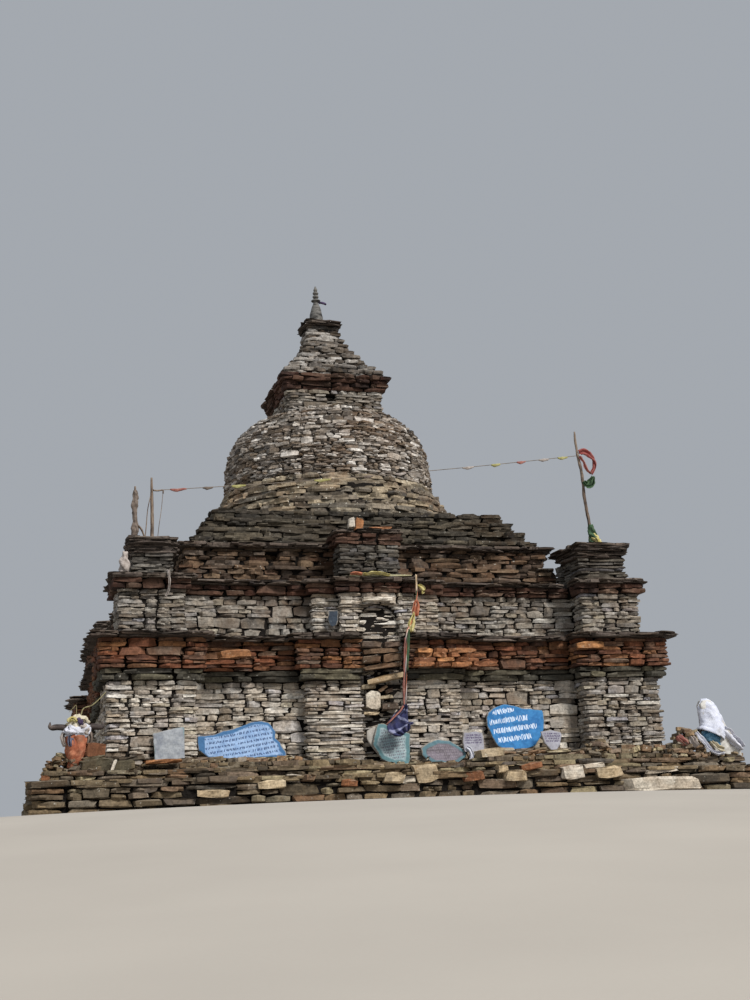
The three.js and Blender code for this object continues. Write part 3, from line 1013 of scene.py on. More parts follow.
class Pile:
    """Stones laid so far, each with its place, turn, size and shape."""

    def __init__(self, seed: int) -> None:
        """Starts an empty pile with its own chances.

        Args:
            seed: What fixes the pile's chances.
        """
        self.rng = np.random.default_rng(seed)
        self.seed = seed
        self.places: list[Point] = []
        self.turns: list[Point] = []
        self.sizes: list[Point] = []
        self.picks: list[int] = []

    def add(self, place: Point, turn: Point, size: Point, pick: int) -> None:
        """Adds one stone.

        Args:
            place: The stone's middle.
            turn: Its turn about each axis, in radians.
            size: Its length, depth and height.
            pick: Which shape of the stock it has.
        """
        self.places.append(tuple(place))
        self.turns.append(tuple(turn))
        self.sizes.append(tuple(size))
        self.picks.append(pick)

    def points(self, name: str) -> bpy.types.Mesh:
        """Turns the pile into a mesh of points with attributes.

        Args:
            name: What the mesh is called.

        Returns:
            One point for each stone.
        """
        mesh = bpy.data.meshes.new(name)
        mesh.from_pydata(self.places, [], [])
        for label, values in (("turn", self.turns), ("size", self.sizes)):
            attribute = mesh.attributes.new(label, "FLOAT_VECTOR", "POINT")
            attribute.data.foreach_set("vector", np.array(values, np.float32).ravel())
        attribute = mesh.attributes.new("pick", "INT", "POINT")
        attribute.data.foreach_set("value", np.array(self.picks, np.int32))
        return mesh


class Mason:
    """Keeps the stones, the solids and the materials that every wall is laid with."""

    def __init__(self, stock: StoneStock, masonry: Sequence[str]) -> None:
        """Reads the solids.

        Args:
            stock: The stones to lay.
            masonry: The names of the nodes that are masonry.
        """
        self.stock = stock
        self.solids = {name: Solid(name) for name in masonry}
        self.tree = StoneTree(stock)
        self.materials: dict[str, bpy.types.Material] = {}
        self.kept: list[tuple[np.ndarray, np.ndarray]] = []

    def keep_free(self, place: Point, size: Point) -> None:
        """Keeps the courses out of a box with a middle and a size, but for a narrow rim."""
        self.kept.append((np.array(place), np.array(size) * 0.3))

    def kept_free(self, place: Sequence[float]) -> bool:
        """Says whether a place is kept free of courses."""
        return any((np.abs(np.array(place) - middle) < reach).all() for middle, reach in self.kept)

    def covered(self, point: Point, but: str) -> bool:
        """Says whether a point lies inside any solid but one."""
        return any(solid.holds(point) for name, solid in self.solids.items() if name != but)

    def dressed(self, finish: "StoneFinish | EarthFinish") -> bpy.types.Material:
        """Gives a finish's material, made once.

        Args:
            finish: The finish.

        Returns:
            Its material.
        """
        if finish.name not in self.materials:
            self.materials[finish.name] = finish.material()
        return self.materials[finish.name]

    def stones(self, name: str, pile: Pile, finish: StoneFinish) -> bpy.types.Object:
        """Builds a pile's stones."""
        return self.tree.built(name, pile.points(name), self.dressed(finish), pile.seed)

    def core(self, name: str, sides: float, top: float) -> bpy.types.Object:
        """Builds the dark packing behind a node's stones.

        Args:
            name: The CAD node whose solid is packed.
            sides: How far the sides lie behind the faces.
            top: How far the top lies below the faces.

        Returns:
            The packing.
        """
        made = self.solids[name].shrunken(name + "_packing", sides, top)
        made.data.materials.append(self.dressed(EarthFinish()))
        return made


@dataclass(frozen=True)
class Wall:
    """One solid while a mason lays stones on it, wherever nothing covers it. Lengths are in metres."""

    mason: Mason
    solid: Solid
    pile: Pile
    laying: Laying

    SETBACK: ClassVar[float] = 0.17
    TUCK: ClassVar[float] = 0.045
    SHORTEST_RUN: ClassVar[float] = 0.04
    SHORTEST_ROW: ClassVar[float] = 0.05
    SHORTEST_STONE: ClassVar[float] = 0.02
    THINNEST: ClassVar[float] = 0.012
    CELL: ClassVar[float] = 2.2
    NOTHING: ClassVar[float] = 1e-3
    JUT: ClassVar[Range] = (-0.014, 0.01)
    STILL_FLAT: ClassVar[float] = 1.35
    STILL_BLOCK: ClassVar[float] = 1.15
    CUT_ACROSS: ClassVar[Range] = (0.3, 0.7)
    CUT_ALONG: ClassVar[Range] = (0.32, 0.68)
    CORNER_FIT: ClassVar[Range] = (0.93, 0.985)
    STONE_FIT: ClassVar[Range] = (0.97, 1.07)
    HEIGHT_FIT: ClassVar[Range] = (0.92, 1.1)
    PROBED: ClassVar[tuple[float, ...]] = (0.12, 0.5, 0.88)
    TURN: ClassVar[float] = 0.03
    FLAG_TURN: ClassVar[float] = 0.12
    FLAG_LIFT: ClassVar[float] = 0.014
    FLAG_TILT: ClassVar[float] = 0.6
    FLAG_REACH: ClassVar[float] = 0.46
    INSIDE: ClassVar[float] = 0.012

    def lay(self, low: float, high: float) -> None:
        """Lays the sides, band by band, from one height to another.

        Args:
            low: Where the first band starts.
            high: Where the last one ends.
        """
        low, high = max(low, float(self.solid.low[2])), min(high, float(self.solid.high[2]))
        levels = self.solid.levels(low, high)
        parity = 0
        for bottom, top in zip(levels, levels[1:]):
            heights = self._bands(bottom, top)
            for rise in zip(heights, heights[1:]):
                layers = max(1, round((rise[1] - rise[0]) / max(self.laying.tallest, 0.03)))
                for run in self.solid.runs((rise[0] + rise[1]) / 2):
                    self._run(run, rise, layers, parity)
                parity += layers

    def _bands(self, low: float, high: float) -> list[float]:
        """Divides a height into bands of uneven height.

        Args:
            low: The lower height.
            high: The upper height.

        Returns:
            The heights between the bands, with both ends.
        """
        height, band = high - low, self.laying.band
        count = max(1, round(height / ((band[0] + band[1]) / 2)))
        shares = self.pile.rng.uniform(band[0], band[1], count)
        return [low, *(low + height * np.cumsum(shares) / shares.sum())]

    def _in_open(self, corner: np.ndarray | None, height: float) -> bool:
        """Says whether a run ends at a corner that nothing hides."""
        return corner is not None and not self.mason.covered((*corner, height), self.solid.name)

    def _run(self, run: Run, rise: Range, layers: int, parity: int) -> None:
        """Lays one band of one run, with corner stones that lap from side to side.

        Args:
            run: The run to lay along.
            rise: The band's lower and upper height.
            layers: How many layers of corner stones the band has.
            parity: How many layers lie below, which says whose stones come out at each corner.
        """
        length, rng = run.length(), self.pile.rng
        if length < self.SHORTEST_RUN:
            return
        corners = (run.start_corner, run.end_corner)
        at_start, at_end = (self._in_open(corner, sum(rise) / 2) for corner in corners)
        run = replace(
            run,
            start_corner=run.start_corner if at_start else None,
            end_corner=run.end_corner if at_end else None,
        )
        starts = rng.uniform(*self.laying.quoin) if at_start else 0.0
        ends = rng.uniform(*self.laying.quoin) if at_end else 0.0
        short = length < starts + ends + self.laying.length[0]
        heights = np.linspace(*rise, layers + 1)
        for layer, within in enumerate(zip(heights, heights[1:])):
            owns_end = (parity + layer) % 2 == 0
            first = self.SETBACK if at_start and owns_end else 0.0
            last = length - self.SETBACK if at_end and not owns_end else length
            jut = rng.uniform(*self.JUT, 2)
            first -= jut[0] if at_start and not owns_end else 0.0
            last += jut[1] if at_end and owns_end else 0.0
            if short:
                self._row(run, (first, last), within)
                continue
            if at_start:
                self._stone(run, (first, starts), within, corner=True)
            if at_end:
                self._stone(run, (length - ends, last), within, corner=True)
        if not short:
            self._cells(run, (starts, length - ends), rise)

    def _row(self, run: Run, span: Range, rise: Range) -> None:
        """Lays one row of a run that is too short for corner stones of its own.

        Args:
            run: The run to lay along.
            span: Where the row starts and ends along it.
            rise: The row's lower and upper height.
        """
        length = span[1] - span[0]
        if length <= self.SHORTEST_ROW:
            return
        cuts = np.linspace(*span, max(1, round(length / self.laying.length[1])) + 1)
        for part in zip(cuts, cuts[1:]):
            self._stone(run, part, rise, corner=True)

    def _cells(self, run: Run, span: Range, rise: Range) -> None:
        """Divides a band into cells and fills them.

        Args:
            run: The run to lay along.
            span: Where the band starts and ends along it.
            rise: The band's lower and upper height.
        """
        start, stop = span
        while stop - start > self.NOTHING:
            width = self.pile.rng.uniform(*self.laying.length) * self.CELL
            if stop - start < width + self.laying.length[0]:
                width = stop - start
            self._fill(run, (start, start + width), rise)
            start += width

    def _fill(self, run: Run, span: Range, rise: Range) -> None:
        """Fills a cell with one stone, or divides it again.

        Args:
            run: The run to lay along.
            span: Where the cell starts and ends along it.
            rise: The cell's lower and upper height.
        """
        rng, laying = self.pile.rng, self.laying
        width, height = span[1] - span[0], rise[1] - rise[0]
        shortest, longest = laying.length
        flat = height <= laying.tallest * self.STILL_FLAT
        low = height <= laying.band[1] * self.STILL_BLOCK
        block = low and width < longest and rng.random() < laying.blocks
        parted = rng.random() < laying.splits
        if (flat and (width > longest or (width > shortest * 2 and parted))) or (
            not flat and not block and width > shortest * 2.5 and parted
        ):
            cut = span[0] + width * rng.uniform(*self.CUT_ACROSS)
            self._fill(run, (span[0], cut), rise)
            self._fill(run, (cut, span[1]), rise)
        elif flat or block:
            self._stone(run, span, rise)
        else:
            cut = rise[0] + height * rng.uniform(*self.CUT_ALONG)
            self._fill(run, span, (rise[0], cut))
            self._fill(run, span, (cut, rise[1]))

    def _stone(self, run: Run, span: Range, rise: Range, corner: bool = False) -> None:
        """Lays one stone unless something covers it.

        Args:
            run: The run to lay along.
            span: Where the stone starts and ends along it.
            rise: The stone's lower and upper height.
            corner: Whether the stone stands at a corner.
        """
        rng, laying = self.pile.rng, self.laying
        first, last = span
        if run.start_corner is None and first < self.NOTHING:
            first -= self.TUCK
        if run.end_corner is None and last > run.length() - self.NOTHING:
            last += self.TUCK
        start, end = run.at(first), run.at(last)
        length = float(np.linalg.norm(end - start))
        if length < self.SHORTEST_STONE:
            return
        along = (end - start) / length
        outward = np.array([along[1], -along[0]])
        middle, height, tall = (start + end) / 2, (rise[0] + rise[1]) / 2, rise[1] - rise[0]
        probes = [start + along * length * share + outward * Solid.PROBE for share in self.PROBED]
        if all(self.mason.covered((*probe, height), self.solid.name) for probe in probes):
            return
        if self.mason.kept_free((*(middle - outward * laying.depth[0] / 2), height)):
            return
        depth = self.SETBACK + 0.03 if corner else rng.uniform(*laying.depth)
        depth = max(depth, laying.depth[0])
        centre = middle + outward * (rng.uniform(*laying.stand) - depth / 2)
        lift = laying.wave * noise.noise(Vector((middle[0] * 0.8, middle[1] * 0.8, height * 1.7)))
        fit = self.CORNER_FIT if corner else self.STONE_FIT
        size = (
            length * rng.uniform(*fit) - laying.gap * rng.uniform(0.3, 1.6),
            depth,
            max(tall * rng.uniform(*self.HEIGHT_FIT) - laying.gap * rng.uniform(0.3, 1.2), self.THINNEST),
        )
        tilt = rng.uniform(-1, 1, 2) * laying.tilt
        shape = StoneShape.BLOCK if tall > 0.62 * length or tall > laying.tallest * 1.2 else laying.shape
        roll = tilt[0] * min(1.0, 0.25 / length)
        turn = (tilt[1], roll, math.atan2(along[1], along[0]) + rng.uniform(-self.TURN, self.TURN))
        self.pile.add((*centre, height + lift), turn, size, self.mason.stock.pick(shape, rng))

    def pave(self, top: float) -> None:
        """Lays flat stones on the open ledge at a height, then smaller ones where those leave gaps.

        Args:
            top: The ledge's height.
        """
        rng, laying = self.pile.rng, self.laying
        below, above = top - self.INSIDE, top + Solid.PROBE
        low, high = self.solid.low, self.solid.high
        laid: list[tuple[float, ...]] = []
        for share in laying.passes:
            y = low[1] + 0.02
            while y < high[1]:
                row = rng.uniform(*laying.depth) * share
                x = low[0] + rng.uniform(0, 0.2)
                while x < high[0]:
                    length = rng.uniform(*laying.length) * share
                    plan = (x + length / 2, y + row / 2, length, row)
                    taken = share < 1 and self._taken(laid, plan)
                    if not taken and self._open(plan, below, above):
                        self._flag(plan, below)
                        laid.append(plan)
                    x += length
                y += row

    def _open(self, plan: Sequence[float], below: float, above: float) -> bool:
        """Says whether a flat stone lies wholly on the ledge, with some of it in the open.

        Args:
            plan: Its middle across and in depth, its length and its depth.
            below: A height just inside the wall.
            above: A height just over the ledge.

        Returns:
            True if the stone can lie there.
        """
        x, y, length, row = plan
        if self.mason.kept_free((x, y, below)):
            return False
        half = (length * self.FLAG_REACH, row * self.FLAG_REACH)
        spots = [(x + side * half[0], y + end * half[1]) for side in (-1, 1) for end in (-1, 1)]
        spots.append((x, y))
        if not all(self.solid.holds((*spot, below)) for spot in spots) or self.solid.holds((x, y, above)):
            return False
        return not all(self.mason.covered((*spot, above), self.solid.name) for spot in spots)

    @staticmethod
    def _taken(laid: Sequence[Sequence[float]], plan: Sequence[float]) -> bool:
        """Says whether a flat stone already lies on a spot.

        Args:
            laid: The stones that lie there already.
            plan: The new stone's middle across and in depth, its length and its depth.

        Returns:
            True if one of them covers the new stone's middle.
        """
        if not laid:
            return False
        off = np.abs(np.array(laid)[:, :2] - np.array(plan[:2]))
        return bool((off < np.array(laid)[:, 2:] / 2).all(1).any())

    def _flag(self, plan: Sequence[float], below: float) -> None:
        """Lays one flat stone.

        Args:
            plan: Its middle across and in depth, its length and its depth.
            below: A height just inside the wall.
        """
        rng, laying = self.pile.rng, self.laying
        x, y, length, row = plan
        thick = rng.uniform(*laying.band)
        tilt = rng.uniform(-1, 1, 2) * laying.tilt * self.FLAG_TILT
        turn = (*tilt, rng.uniform(-self.FLAG_TURN, self.FLAG_TURN) + math.pi * int(rng.integers(2)))
        place = (x, y, below + rng.uniform(0, self.FLAG_LIFT) - thick / 2)
        size = (length - laying.gap, row - laying.gap, thick)
        self.pile.add(place, turn, size, self.mason.stock.pick(StoneShape.FLAG, rng))


FLAGS = Laying(band=(0.035, 0.06), tallest=0.08, length=(0.24, 0.46), depth=(0.2, 0.34))
CLOSE_FLAGS = replace(FLAGS, passes=(1.0, 0.55, 0.32))
RUBBLE = Laying(band=(0.09, 0.15), tallest=0.05, length=(0.13, 0.44), blocks=0.16)
RECESS = Laying(band=(0.12, 0.19), tallest=0.068, length=(0.14, 0.42), blocks=0.42)
CORBEL = Laying(band=(0.06, 0.085), tallest=0.09, length=(0.36, 0.8), depth=(0.22, 0.28), stand=(-0.02, 0.02))
RED_COURSES = Laying(
    band=(0.1, 0.16), tallest=0.06, length=(0.18, 0.5), blocks=0.3, depth=(0.18, 0.26), gap=0.01,
)
CAP = Laying(
    band=(0.022, 0.036), tallest=0.05, length=(0.28, 0.8), depth=(0.34, 0.42), stand=(-0.05, 0.05),
    gap=0.004, tilt=0.03,
)
PLINTH_COURSES = Laying(
    band=(0.09, 0.17), tallest=0.075, length=(0.2, 0.7), depth=(0.26, 0.36), stand=(-0.07, 0.02),
    blocks=0.6, gap=0.016, tilt=0.06, quoin=(0.4, 0.6),
)
LEDGE_COURSES = Laying(
    band=(0.05, 0.085), tallest=0.09, length=(0.2, 0.62), depth=(0.22, 0.3), stand=(-0.035, 0.02),
    splits=0.15,
)
DOME_COURSES = Laying(
    band=(0.1, 0.11), tallest=0.046, length=(0.12, 0.34), depth=(0.18, 0.24), stand=(-0.02, 0.012),
)
DOME_CROWN = replace(DOME_COURSES, depth=(0.34, 0.38))
ROOF_COURSES = Laying(
    band=(0.05, 0.07), tallest=0.08, length=(0.14, 0.42), depth=(0.2, 0.28), stand=(-0.025, 0.015),
)


@dataclass(frozen=True)
class Stretch:
    """One kind of masonry between two heights of a node."""

    laying: Laying
    finish: StoneFinish
    low: float = -9.0
    high: float = 99.0


@dataclass(frozen=True)
class Masonry:
    """A node's masonry: its packing, its stretches of stone and its paved top."""

    node: str
    slot: str
    stretches: tuple[Stretch, ...]
    inset: float = 0.06
    paved: StoneFinish | None = None
    ledges: tuple[float, ...] = ()
    sunk: float = 0.03
    flags: Laying = FLAGS

    def build(self, mason: Mason, seed: int) -> bpy.types.Object:
        """Lays the node and returns the finished piece.

        Args:
            mason: Who lays it.
            seed: The seed of its chances.

        Returns:
            The piece that stands for the node.
        """
        solid = mason.solids[self.node]
        parts = [mason.core(self.node, self.inset, self.sunk)]
        for index, stretch in enumerate(self.stretches):
            pile = Pile(seed * 10 + index)
            Wall(mason, solid, pile, stretch.laying).lay(stretch.low, stretch.high)
            if pile.places:
                parts.append(mason.stones(f"{self.node}_{index}", pile, stretch.finish))
        if self.paved:
            pile = Pile(seed * 10 + 9)
            for top in (*self.ledges, float(solid.high[2])):
                Wall(mason, solid, pile, self.flags).pave(top)
            if pile.places:
                parts.append(mason.stones(f"{self.node}_paving", pile, self.paved))
        piece = joined(self.node + "_stones", parts)
        return settled(piece, self.node)


def spline(points: Sequence[Point], per_span: int = 8) -> np.ndarray:
    """Follows points with one smooth curve.

    Args:
        points: The points, at least three.
        per_span: How many steps lie between two points.

    Returns:
        The curve's points, from the first to the last.
    """
    given = np.array(points, float)
    padded = np.vstack([2 * given[0] - given[1], given, 2 * given[-1] - given[-2]])
    curve = []
    for index in range(len(given) - 1):
        before, start, end, after = padded[index : index + 4]
        for t in np.arange(per_span) / per_span:
            bend = 2 * before - 5 * start + 4 * end - after
            twist = 3 * start - before - 3 * end + after
            curve.append(0.5 * (2 * start + (end - before) * t + bend * t**2 + twist * t**3))
    return np.vstack([curve, given[-1]])


def even(curve: np.ndarray, count: int) -> np.ndarray:
    """Takes evenly spaced points from a curve.

    Args:
        curve: The curve's points.
        count: How many points to take.

    Returns:
        The new points.
    """
    steps = np.linalg.norm(np.diff(curve, axis=0), axis=1)
    marks = np.concatenate([[0.0], np.cumsum(steps)])
    wanted = np.linspace(0, marks[-1], count)
    return np.stack([np.interp(wanted, marks, curve[:, axis]) for axis in range(3)], axis=1)


def spread(values: Sequence[float], count: int) -> np.ndarray:
    """Spreads a few values evenly over many places, with straight steps between them.

    Args:
        values: The values, from the first place to the last.
        count: How many places there are.

    Returns:
        The value at each place.
    """
    return np.interp(np.linspace(0, 1, count), np.linspace(0, 1, len(values)), values)


def across(curve: np.ndarray, side: Point) -> tuple[np.ndarray, np.ndarray]:
    """Gives two directions across a curve at each point, the first as near to a given side as it can be.

    Args:
        curve: The curve's points.
        side: The side that the first direction keeps to.

    Returns:
        The first and the second direction at each point.
    """
    ahead = np.gradient(curve, axis=0)
    ahead /= np.linalg.norm(ahead, axis=1)[:, None]
    first = np.array(side, float) - ahead * (ahead @ np.array(side, float))[:, None]
    first /= np.linalg.norm(first, axis=1)[:, None]
    return first, np.cross(ahead, first)


def lofted(rows: np.ndarray, ring: bool = False, capped: bool = False) -> bmesh.types.BMesh:
    """Joins rows of points into one surface whose UV map is in metres.

    Args:
        rows: The points, as rows, columns and coordinates.
        ring: Whether each row closes on itself.
        capped: Whether the first and last rows are filled.

    Returns:
        The surface.
    """
    shape = bmesh.new()
    map_layer = shape.loops.layers.uv.new("cut")
    closed = np.concatenate([rows, rows[:, :1]], axis=1) if ring else rows
    down = np.concatenate([[0.0], np.cumsum(np.linalg.norm(np.diff(rows.mean(1), axis=0), axis=1))])
    steps = np.cumsum(np.linalg.norm(np.diff(closed, axis=1), axis=2), axis=1)
    over = np.concatenate([np.zeros((len(rows), 1)), steps], axis=1)
    grid = [[shape.verts.new(point) for point in row] for row in rows]
    columns = rows.shape[1]
    for row in range(len(rows) - 1):
        for column in range(closed.shape[1] - 1):
            spots = ((row, column), (row, column + 1), (row + 1, column + 1), (row + 1, column))
            face = shape.faces.new([grid[at_row][at_column % columns] for at_row, at_column in spots])
            face.smooth = True
            for loop, (at_row, at_column) in zip(face.loops, spots):
                loop[map_layer].uv = (over[at_row][at_column], down[at_row])
    if capped:
        shape.faces.new(list(reversed(grid[0])))
        shape.faces.new(grid[-1])
    if ring:
        bmesh.ops.recalc_face_normals(shape, faces=shape.faces)
    return shape


def plain(source: bpy.types.Object) -> bpy.types.Object:
    """Applies an object's modifiers to its mesh.

    Args:
        source: The object with its modifiers.

    Returns:
        The same object without them.
    """
    graph = bpy.context.evaluated_depsgraph_get()
    mesh = bpy.data.meshes.new_from_object(source.evaluated_get(graph), depsgraph=graph)
    source.modifiers.clear()
    old, source.data = source.data, mesh
    bpy.data.meshes.remove(old)
    mesh.name = source.name
    return source


def weathered(shape: bmesh.types.BMesh, name: str, voxel: float, waves: Sequence[Range]) -> bpy.types.Object:
    """Turns a plain solid into a rough one, with an even mesh that noise moves in and out.

    Args:
        shape: The solid, which is freed.
        name: The new object's name.
        voxel: The mesh's size, in metres.
        waves: The layers of relief, each as waves to the metre and depth in metres.

    Returns:
        The rough solid, in the scene.
    """
    piece = to_object(shape, name)
    remesh = piece.modifiers.new("even", "REMESH")
    remesh.mode = "VOXEL"
    remesh.voxel_size = voxel
    plain(piece)
    for vertex in piece.data.vertices:
        move = sum(depth * (noise.noise(vertex.co * scale) - 0.15) for scale, depth in waves)
        vertex.co = vertex.co + vertex.normal * move
    piece.data.polygons.foreach_set("use_smooth", [True] * len(piece.data.polygons))
    return piece


def node_solid(name: str) -> bmesh.types.BMesh:
    """Copies a node's solid with its doubles merged and its flat faces whole.

    Args:
        name: The CAD node.

    Returns:
        A mesh of its own, for its caller to free.
    """
    shape = bmesh.new()
    shape.from_mesh(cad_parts[name].data)
    bmesh.ops.remove_doubles(shape, verts=shape.verts, dist=1e-5)
    bmesh.ops.dissolve_limit(shape, angle_limit=0.02, verts=shape.verts, edges=shape.edges)
    return shape


def settled(piece: bpy.types.Object, node: str = "") -> bpy.types.Object:
    """Hides the node that a finished piece stands for, and hangs the piece on the body that carries it.

    Args:
        piece: The piece.
        node: The node, or nothing for a piece of its own.

    Returns:
        The piece.
    """
    if node:
        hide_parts(node)
    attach(piece, "root")
    log.info("%s: %d faces", piece.name, len(piece.data.polygons))
    return piece


@dataclass(frozen=True)
class AgedFinish:
    """A weathered surface whose colours run in streaks: wood, horn, bone or a single stone."""

    name: str
    colours: tuple[str, ...]
    stretch: Point = (8.0, 8.0, 8.0)
    stain: str = "#4a3d33"
    stain_share: float = 0.35
    roughness: float = 0.9
    relief: float = 0.5
    depth: float = 0.006

    def material(self) -> bpy.types.Material:
        """Builds the material.

        Returns:
            The finished material.
        """
        made = Material(self.name)
        place = made.place()
        streaks = made.noise(made.stretched(place, self.stretch), 1.0, 4.0, 0.6)
        grain = made.noise(made.stretched(place, [part * 5 for part in self.stretch]), 1.0, 3.0, 0.65)
        colour = made.ramp(streaks.between(0.25, 0.75), self.colours)
        colour = made.lit(colour, 0.65 + 0.7 * grain)
        stain = made.noise(place, 6.0, 3.0, 0.6).between(0.5, 0.66)
        colour = made.mix(stain * self.stain_share, colour, self.stain)
        return made.finished(colour, self.roughness, 0.6 * streaks + 0.4 * grain, self.relief, self.depth)


@dataclass(frozen=True)
class ClothFinish:
    """Sun-bleached cotton: its colour, how it fades, its seams, its dirt and its weave."""

    name: str
    colour: str
    faded: str
    slot: str = "cord_cloth"
    seams: float = 0.0
    threads: float = 240.0

    def material(self) -> bpy.types.Material:
        """Builds the material, which follows the cloth's own map.

        Returns:
            The finished material.
        """
        made = Material(self.name)
        cut = made.uv()
        over, down, _ = made.apart(cut)
        fade = made.noise(cut, 11.0, 4.0, 0.6).between(0.35, 0.7)
        colour = made.mix(fade, self.colour, self.faded)
        if self.seams:
            line = ((down + (made.noise(cut, 5.0) - 0.5) * 0.06) / self.seams).fraction()
            colour = made.mix((0.14 - (line - 0.5).size()).between(0.0, 0.06) * 0.75, colour, "#8f93b0")
        dirt = made.noise(made.place(), 9.0, 3.0, 0.6).between(0.5, 0.75)
        colour = made.mix(dirt * 0.4, colour, "#6b6258")
        turn = 2 * math.pi * self.threads
        weave = (over * turn).sine() * (down * turn).sine()
        creases = made.noise(made.stretched(cut, (14, 40, 1)), 1.0, 3.0, 0.6)
        return made.finished(colour, 0.92, 0.2 * weave + 0.8 * creases, 0.5, 0.005)


@dataclass(frozen=True)
class PaintFinish:
    """Old paint on a flat stone: a worn field with rows of plain strokes, and a border along the edge."""

    name: str
    field: tuple[str, str]
    border: str
    strokes: str
    bare: str = "#8b857d"
    border_width: float = 0.04
    uneven: float = 0.05
    strip: float = -99.0
    row: float = 0.06
    mark: float = 0.03
    rows: Range = (-99.0, 99.0)
    tilt: float = 0.0
    middle: Point = (0.0, 0.0, 0.0)
    stroke_share: float = 0.8
    zigzag: float = 0.0
    worn_from: float = 0.66
    band: float = 1.0
    spans: tuple[Range, ...] = ()

    def material(self) -> bpy.types.Material:
        """Builds the material, which reads how far each point lies from the slab's rim.

        Returns:
            The finished material.
        """
        made = Material(self.name)
        place = made.place()
        blotches = made.noise(place, 7.0, 4.0, 0.65)
        fine = made.noise(place, 48.0, 3.0, 0.65)
        rim = made.attribute("rim") + (blotches - 0.5) * 0.05
        stone = made.lit(self.bare, 0.55 + 0.9 * blotches * fine * 2.2)
        field = made.mix(blotches.between(0.35, 0.65), self.field[0], self.field[1])
        field = made.lit(field, 0.72 + 0.56 * fine)
        turned = made.stretched(made.moved(place, fine, 0.006), (1, 1, 1), (0, self.tilt, 0), self.middle)
        over, _, height = made.apart(turned)
        inside = rim.between(self.border_width + 0.006, self.border_width + 0.03)
        wobble = (made.noise(place, 3.0, 2.0) - 0.5) * 0.03
        line = (height + wobble) / self.row
        shown = inside * (line > self.rows[0]) * (1 - (line > self.rows[1]))
        if self.spans:
            shown = shown * self._held(line, over)
        strokes = made.strokes(over, height + wobble, self.row, self.mark, self.band, self.zigzag)
        finer = made.strokes(over + 0.013, height + wobble, self.row, self.mark * 1.43, self.band)
        strokes = strokes.most(finer) * shown
        field = made.mix(strokes * self.stroke_share, field, self.strokes)
        edge = rim + (made.noise(place, 2.2, 2.0) - 0.5) * self.uneven
        painted = edge.between(self.border_width - 0.01, self.border_width + 0.012)
        painted = painted * (made.apart(place)[0] > self.strip)
        colour = made.mix(painted, made.lit(self.border, 0.7 + 0.6 * fine), field)
        chipped = made.noise(place, 16.0, 5.0, 0.7).between(self.worn_from, 0.74)
        worn = (1 - rim.between(0.0, 0.016)).most(chipped)
        front = (made.facing(1) * -1).between(0.35, 0.7)
        colour = made.mix((1 - worn) * front, stone, colour)
        height = 0.5 * blotches + 0.3 * fine - 0.25 * strokes
        return made.finished(colour, 0.75 + 0.2 * blotches, height, 0.5, 0.008)

    def _held(self, line: Shade, over: Shade) -> Shade:
        """Is 1 between the start and the end of each row that has strokes, and 0 elsewhere.

        Args:
            line: The place across the rows.
            over: The place along them.

        Returns:
            The share of paint that the rows allow.
        """
        held = line * 0.0
        for index, (start, end) in enumerate(self.spans):
            row = 1 - ((line.whole() - index).size() > 0.5)
            held = held + row * (over > start) * (1 - (over > end))
        return held


@dataclass(frozen=True)
class Slab:
    """A flat stone that leans on the front.

    Its outline comes from points of x and height above its foot, or else from the frame's node.
    """

    name: str
    slot: str
    finish: PaintFinish
    node: str = ""
    outline: tuple[Range, ...] = ()
    foot: Range = (0.0, 0.0)
    thickness: float = 0.04
    lean: float = 0.14
    voxel: float = 0.012

    def _solid(self) -> bmesh.types.BMesh:
        """Makes the slab's plain solid.

        Returns:
            A mesh for its caller to free.
        """
        if not self.outline:
            return node_solid(self.node)
        shape = bmesh.new()
        y, z = self.foot
        loops = []
        for forward in (self.thickness, 0.0):
            rise, slope = math.cos(self.lean), math.sin(self.lean)
            points = [(x, y - forward + up * slope, z + up * rise) for x, up in self.outline]
            loops.append([shape.verts.new(point) for point in points])
        front, back = loops
        shape.faces.new(front)
        shape.faces.new(list(reversed(back)))
        for index in range(len(front)):
            after = (index + 1) % len(front)
            shape.faces.new((front[after], front[index], back[index], back[after]))
        bmesh.ops.recalc_face_normals(shape, faces=shape.faces)
        return shape

    def build(self) -> bpy.types.Object:
        """Builds the slab with its rough edges, and marks how far each point lies from its rim.

        Returns:
            The slab.
        """
        shape = self._solid()
        shape.normal_update()
        front = min(shape.faces, key=lambda face: face.normal.y * face.calc_area())
        edges = np.array([[vertex.co[:] for vertex in edge.verts] for edge in front.edges])
        piece = weathered(shape, self.name, self.voxel, ((5, 0.008), (17, 0.006), (45, 0.003)))
        places = np.array([vertex.co[:] for vertex in piece.data.vertices])
        starts, along = edges[:, 0], edges[:, 1] - edges[:, 0]
        share = ((places[:, None] - starts) * along).sum(2) / (along * along).sum(1)
        nearest = starts + np.clip(share, 0, 1)[..., None] * along
        rim = np.linalg.norm(places[:, None] - nearest, axis=2).min(1)
        marks = piece.data.attributes.new("rim", "FLOAT", "POINT")
        marks.data.foreach_set("value", rim.astype(np.float32))
        piece.data.materials.append(self.finish.material())
        return settled(piece, self.node)


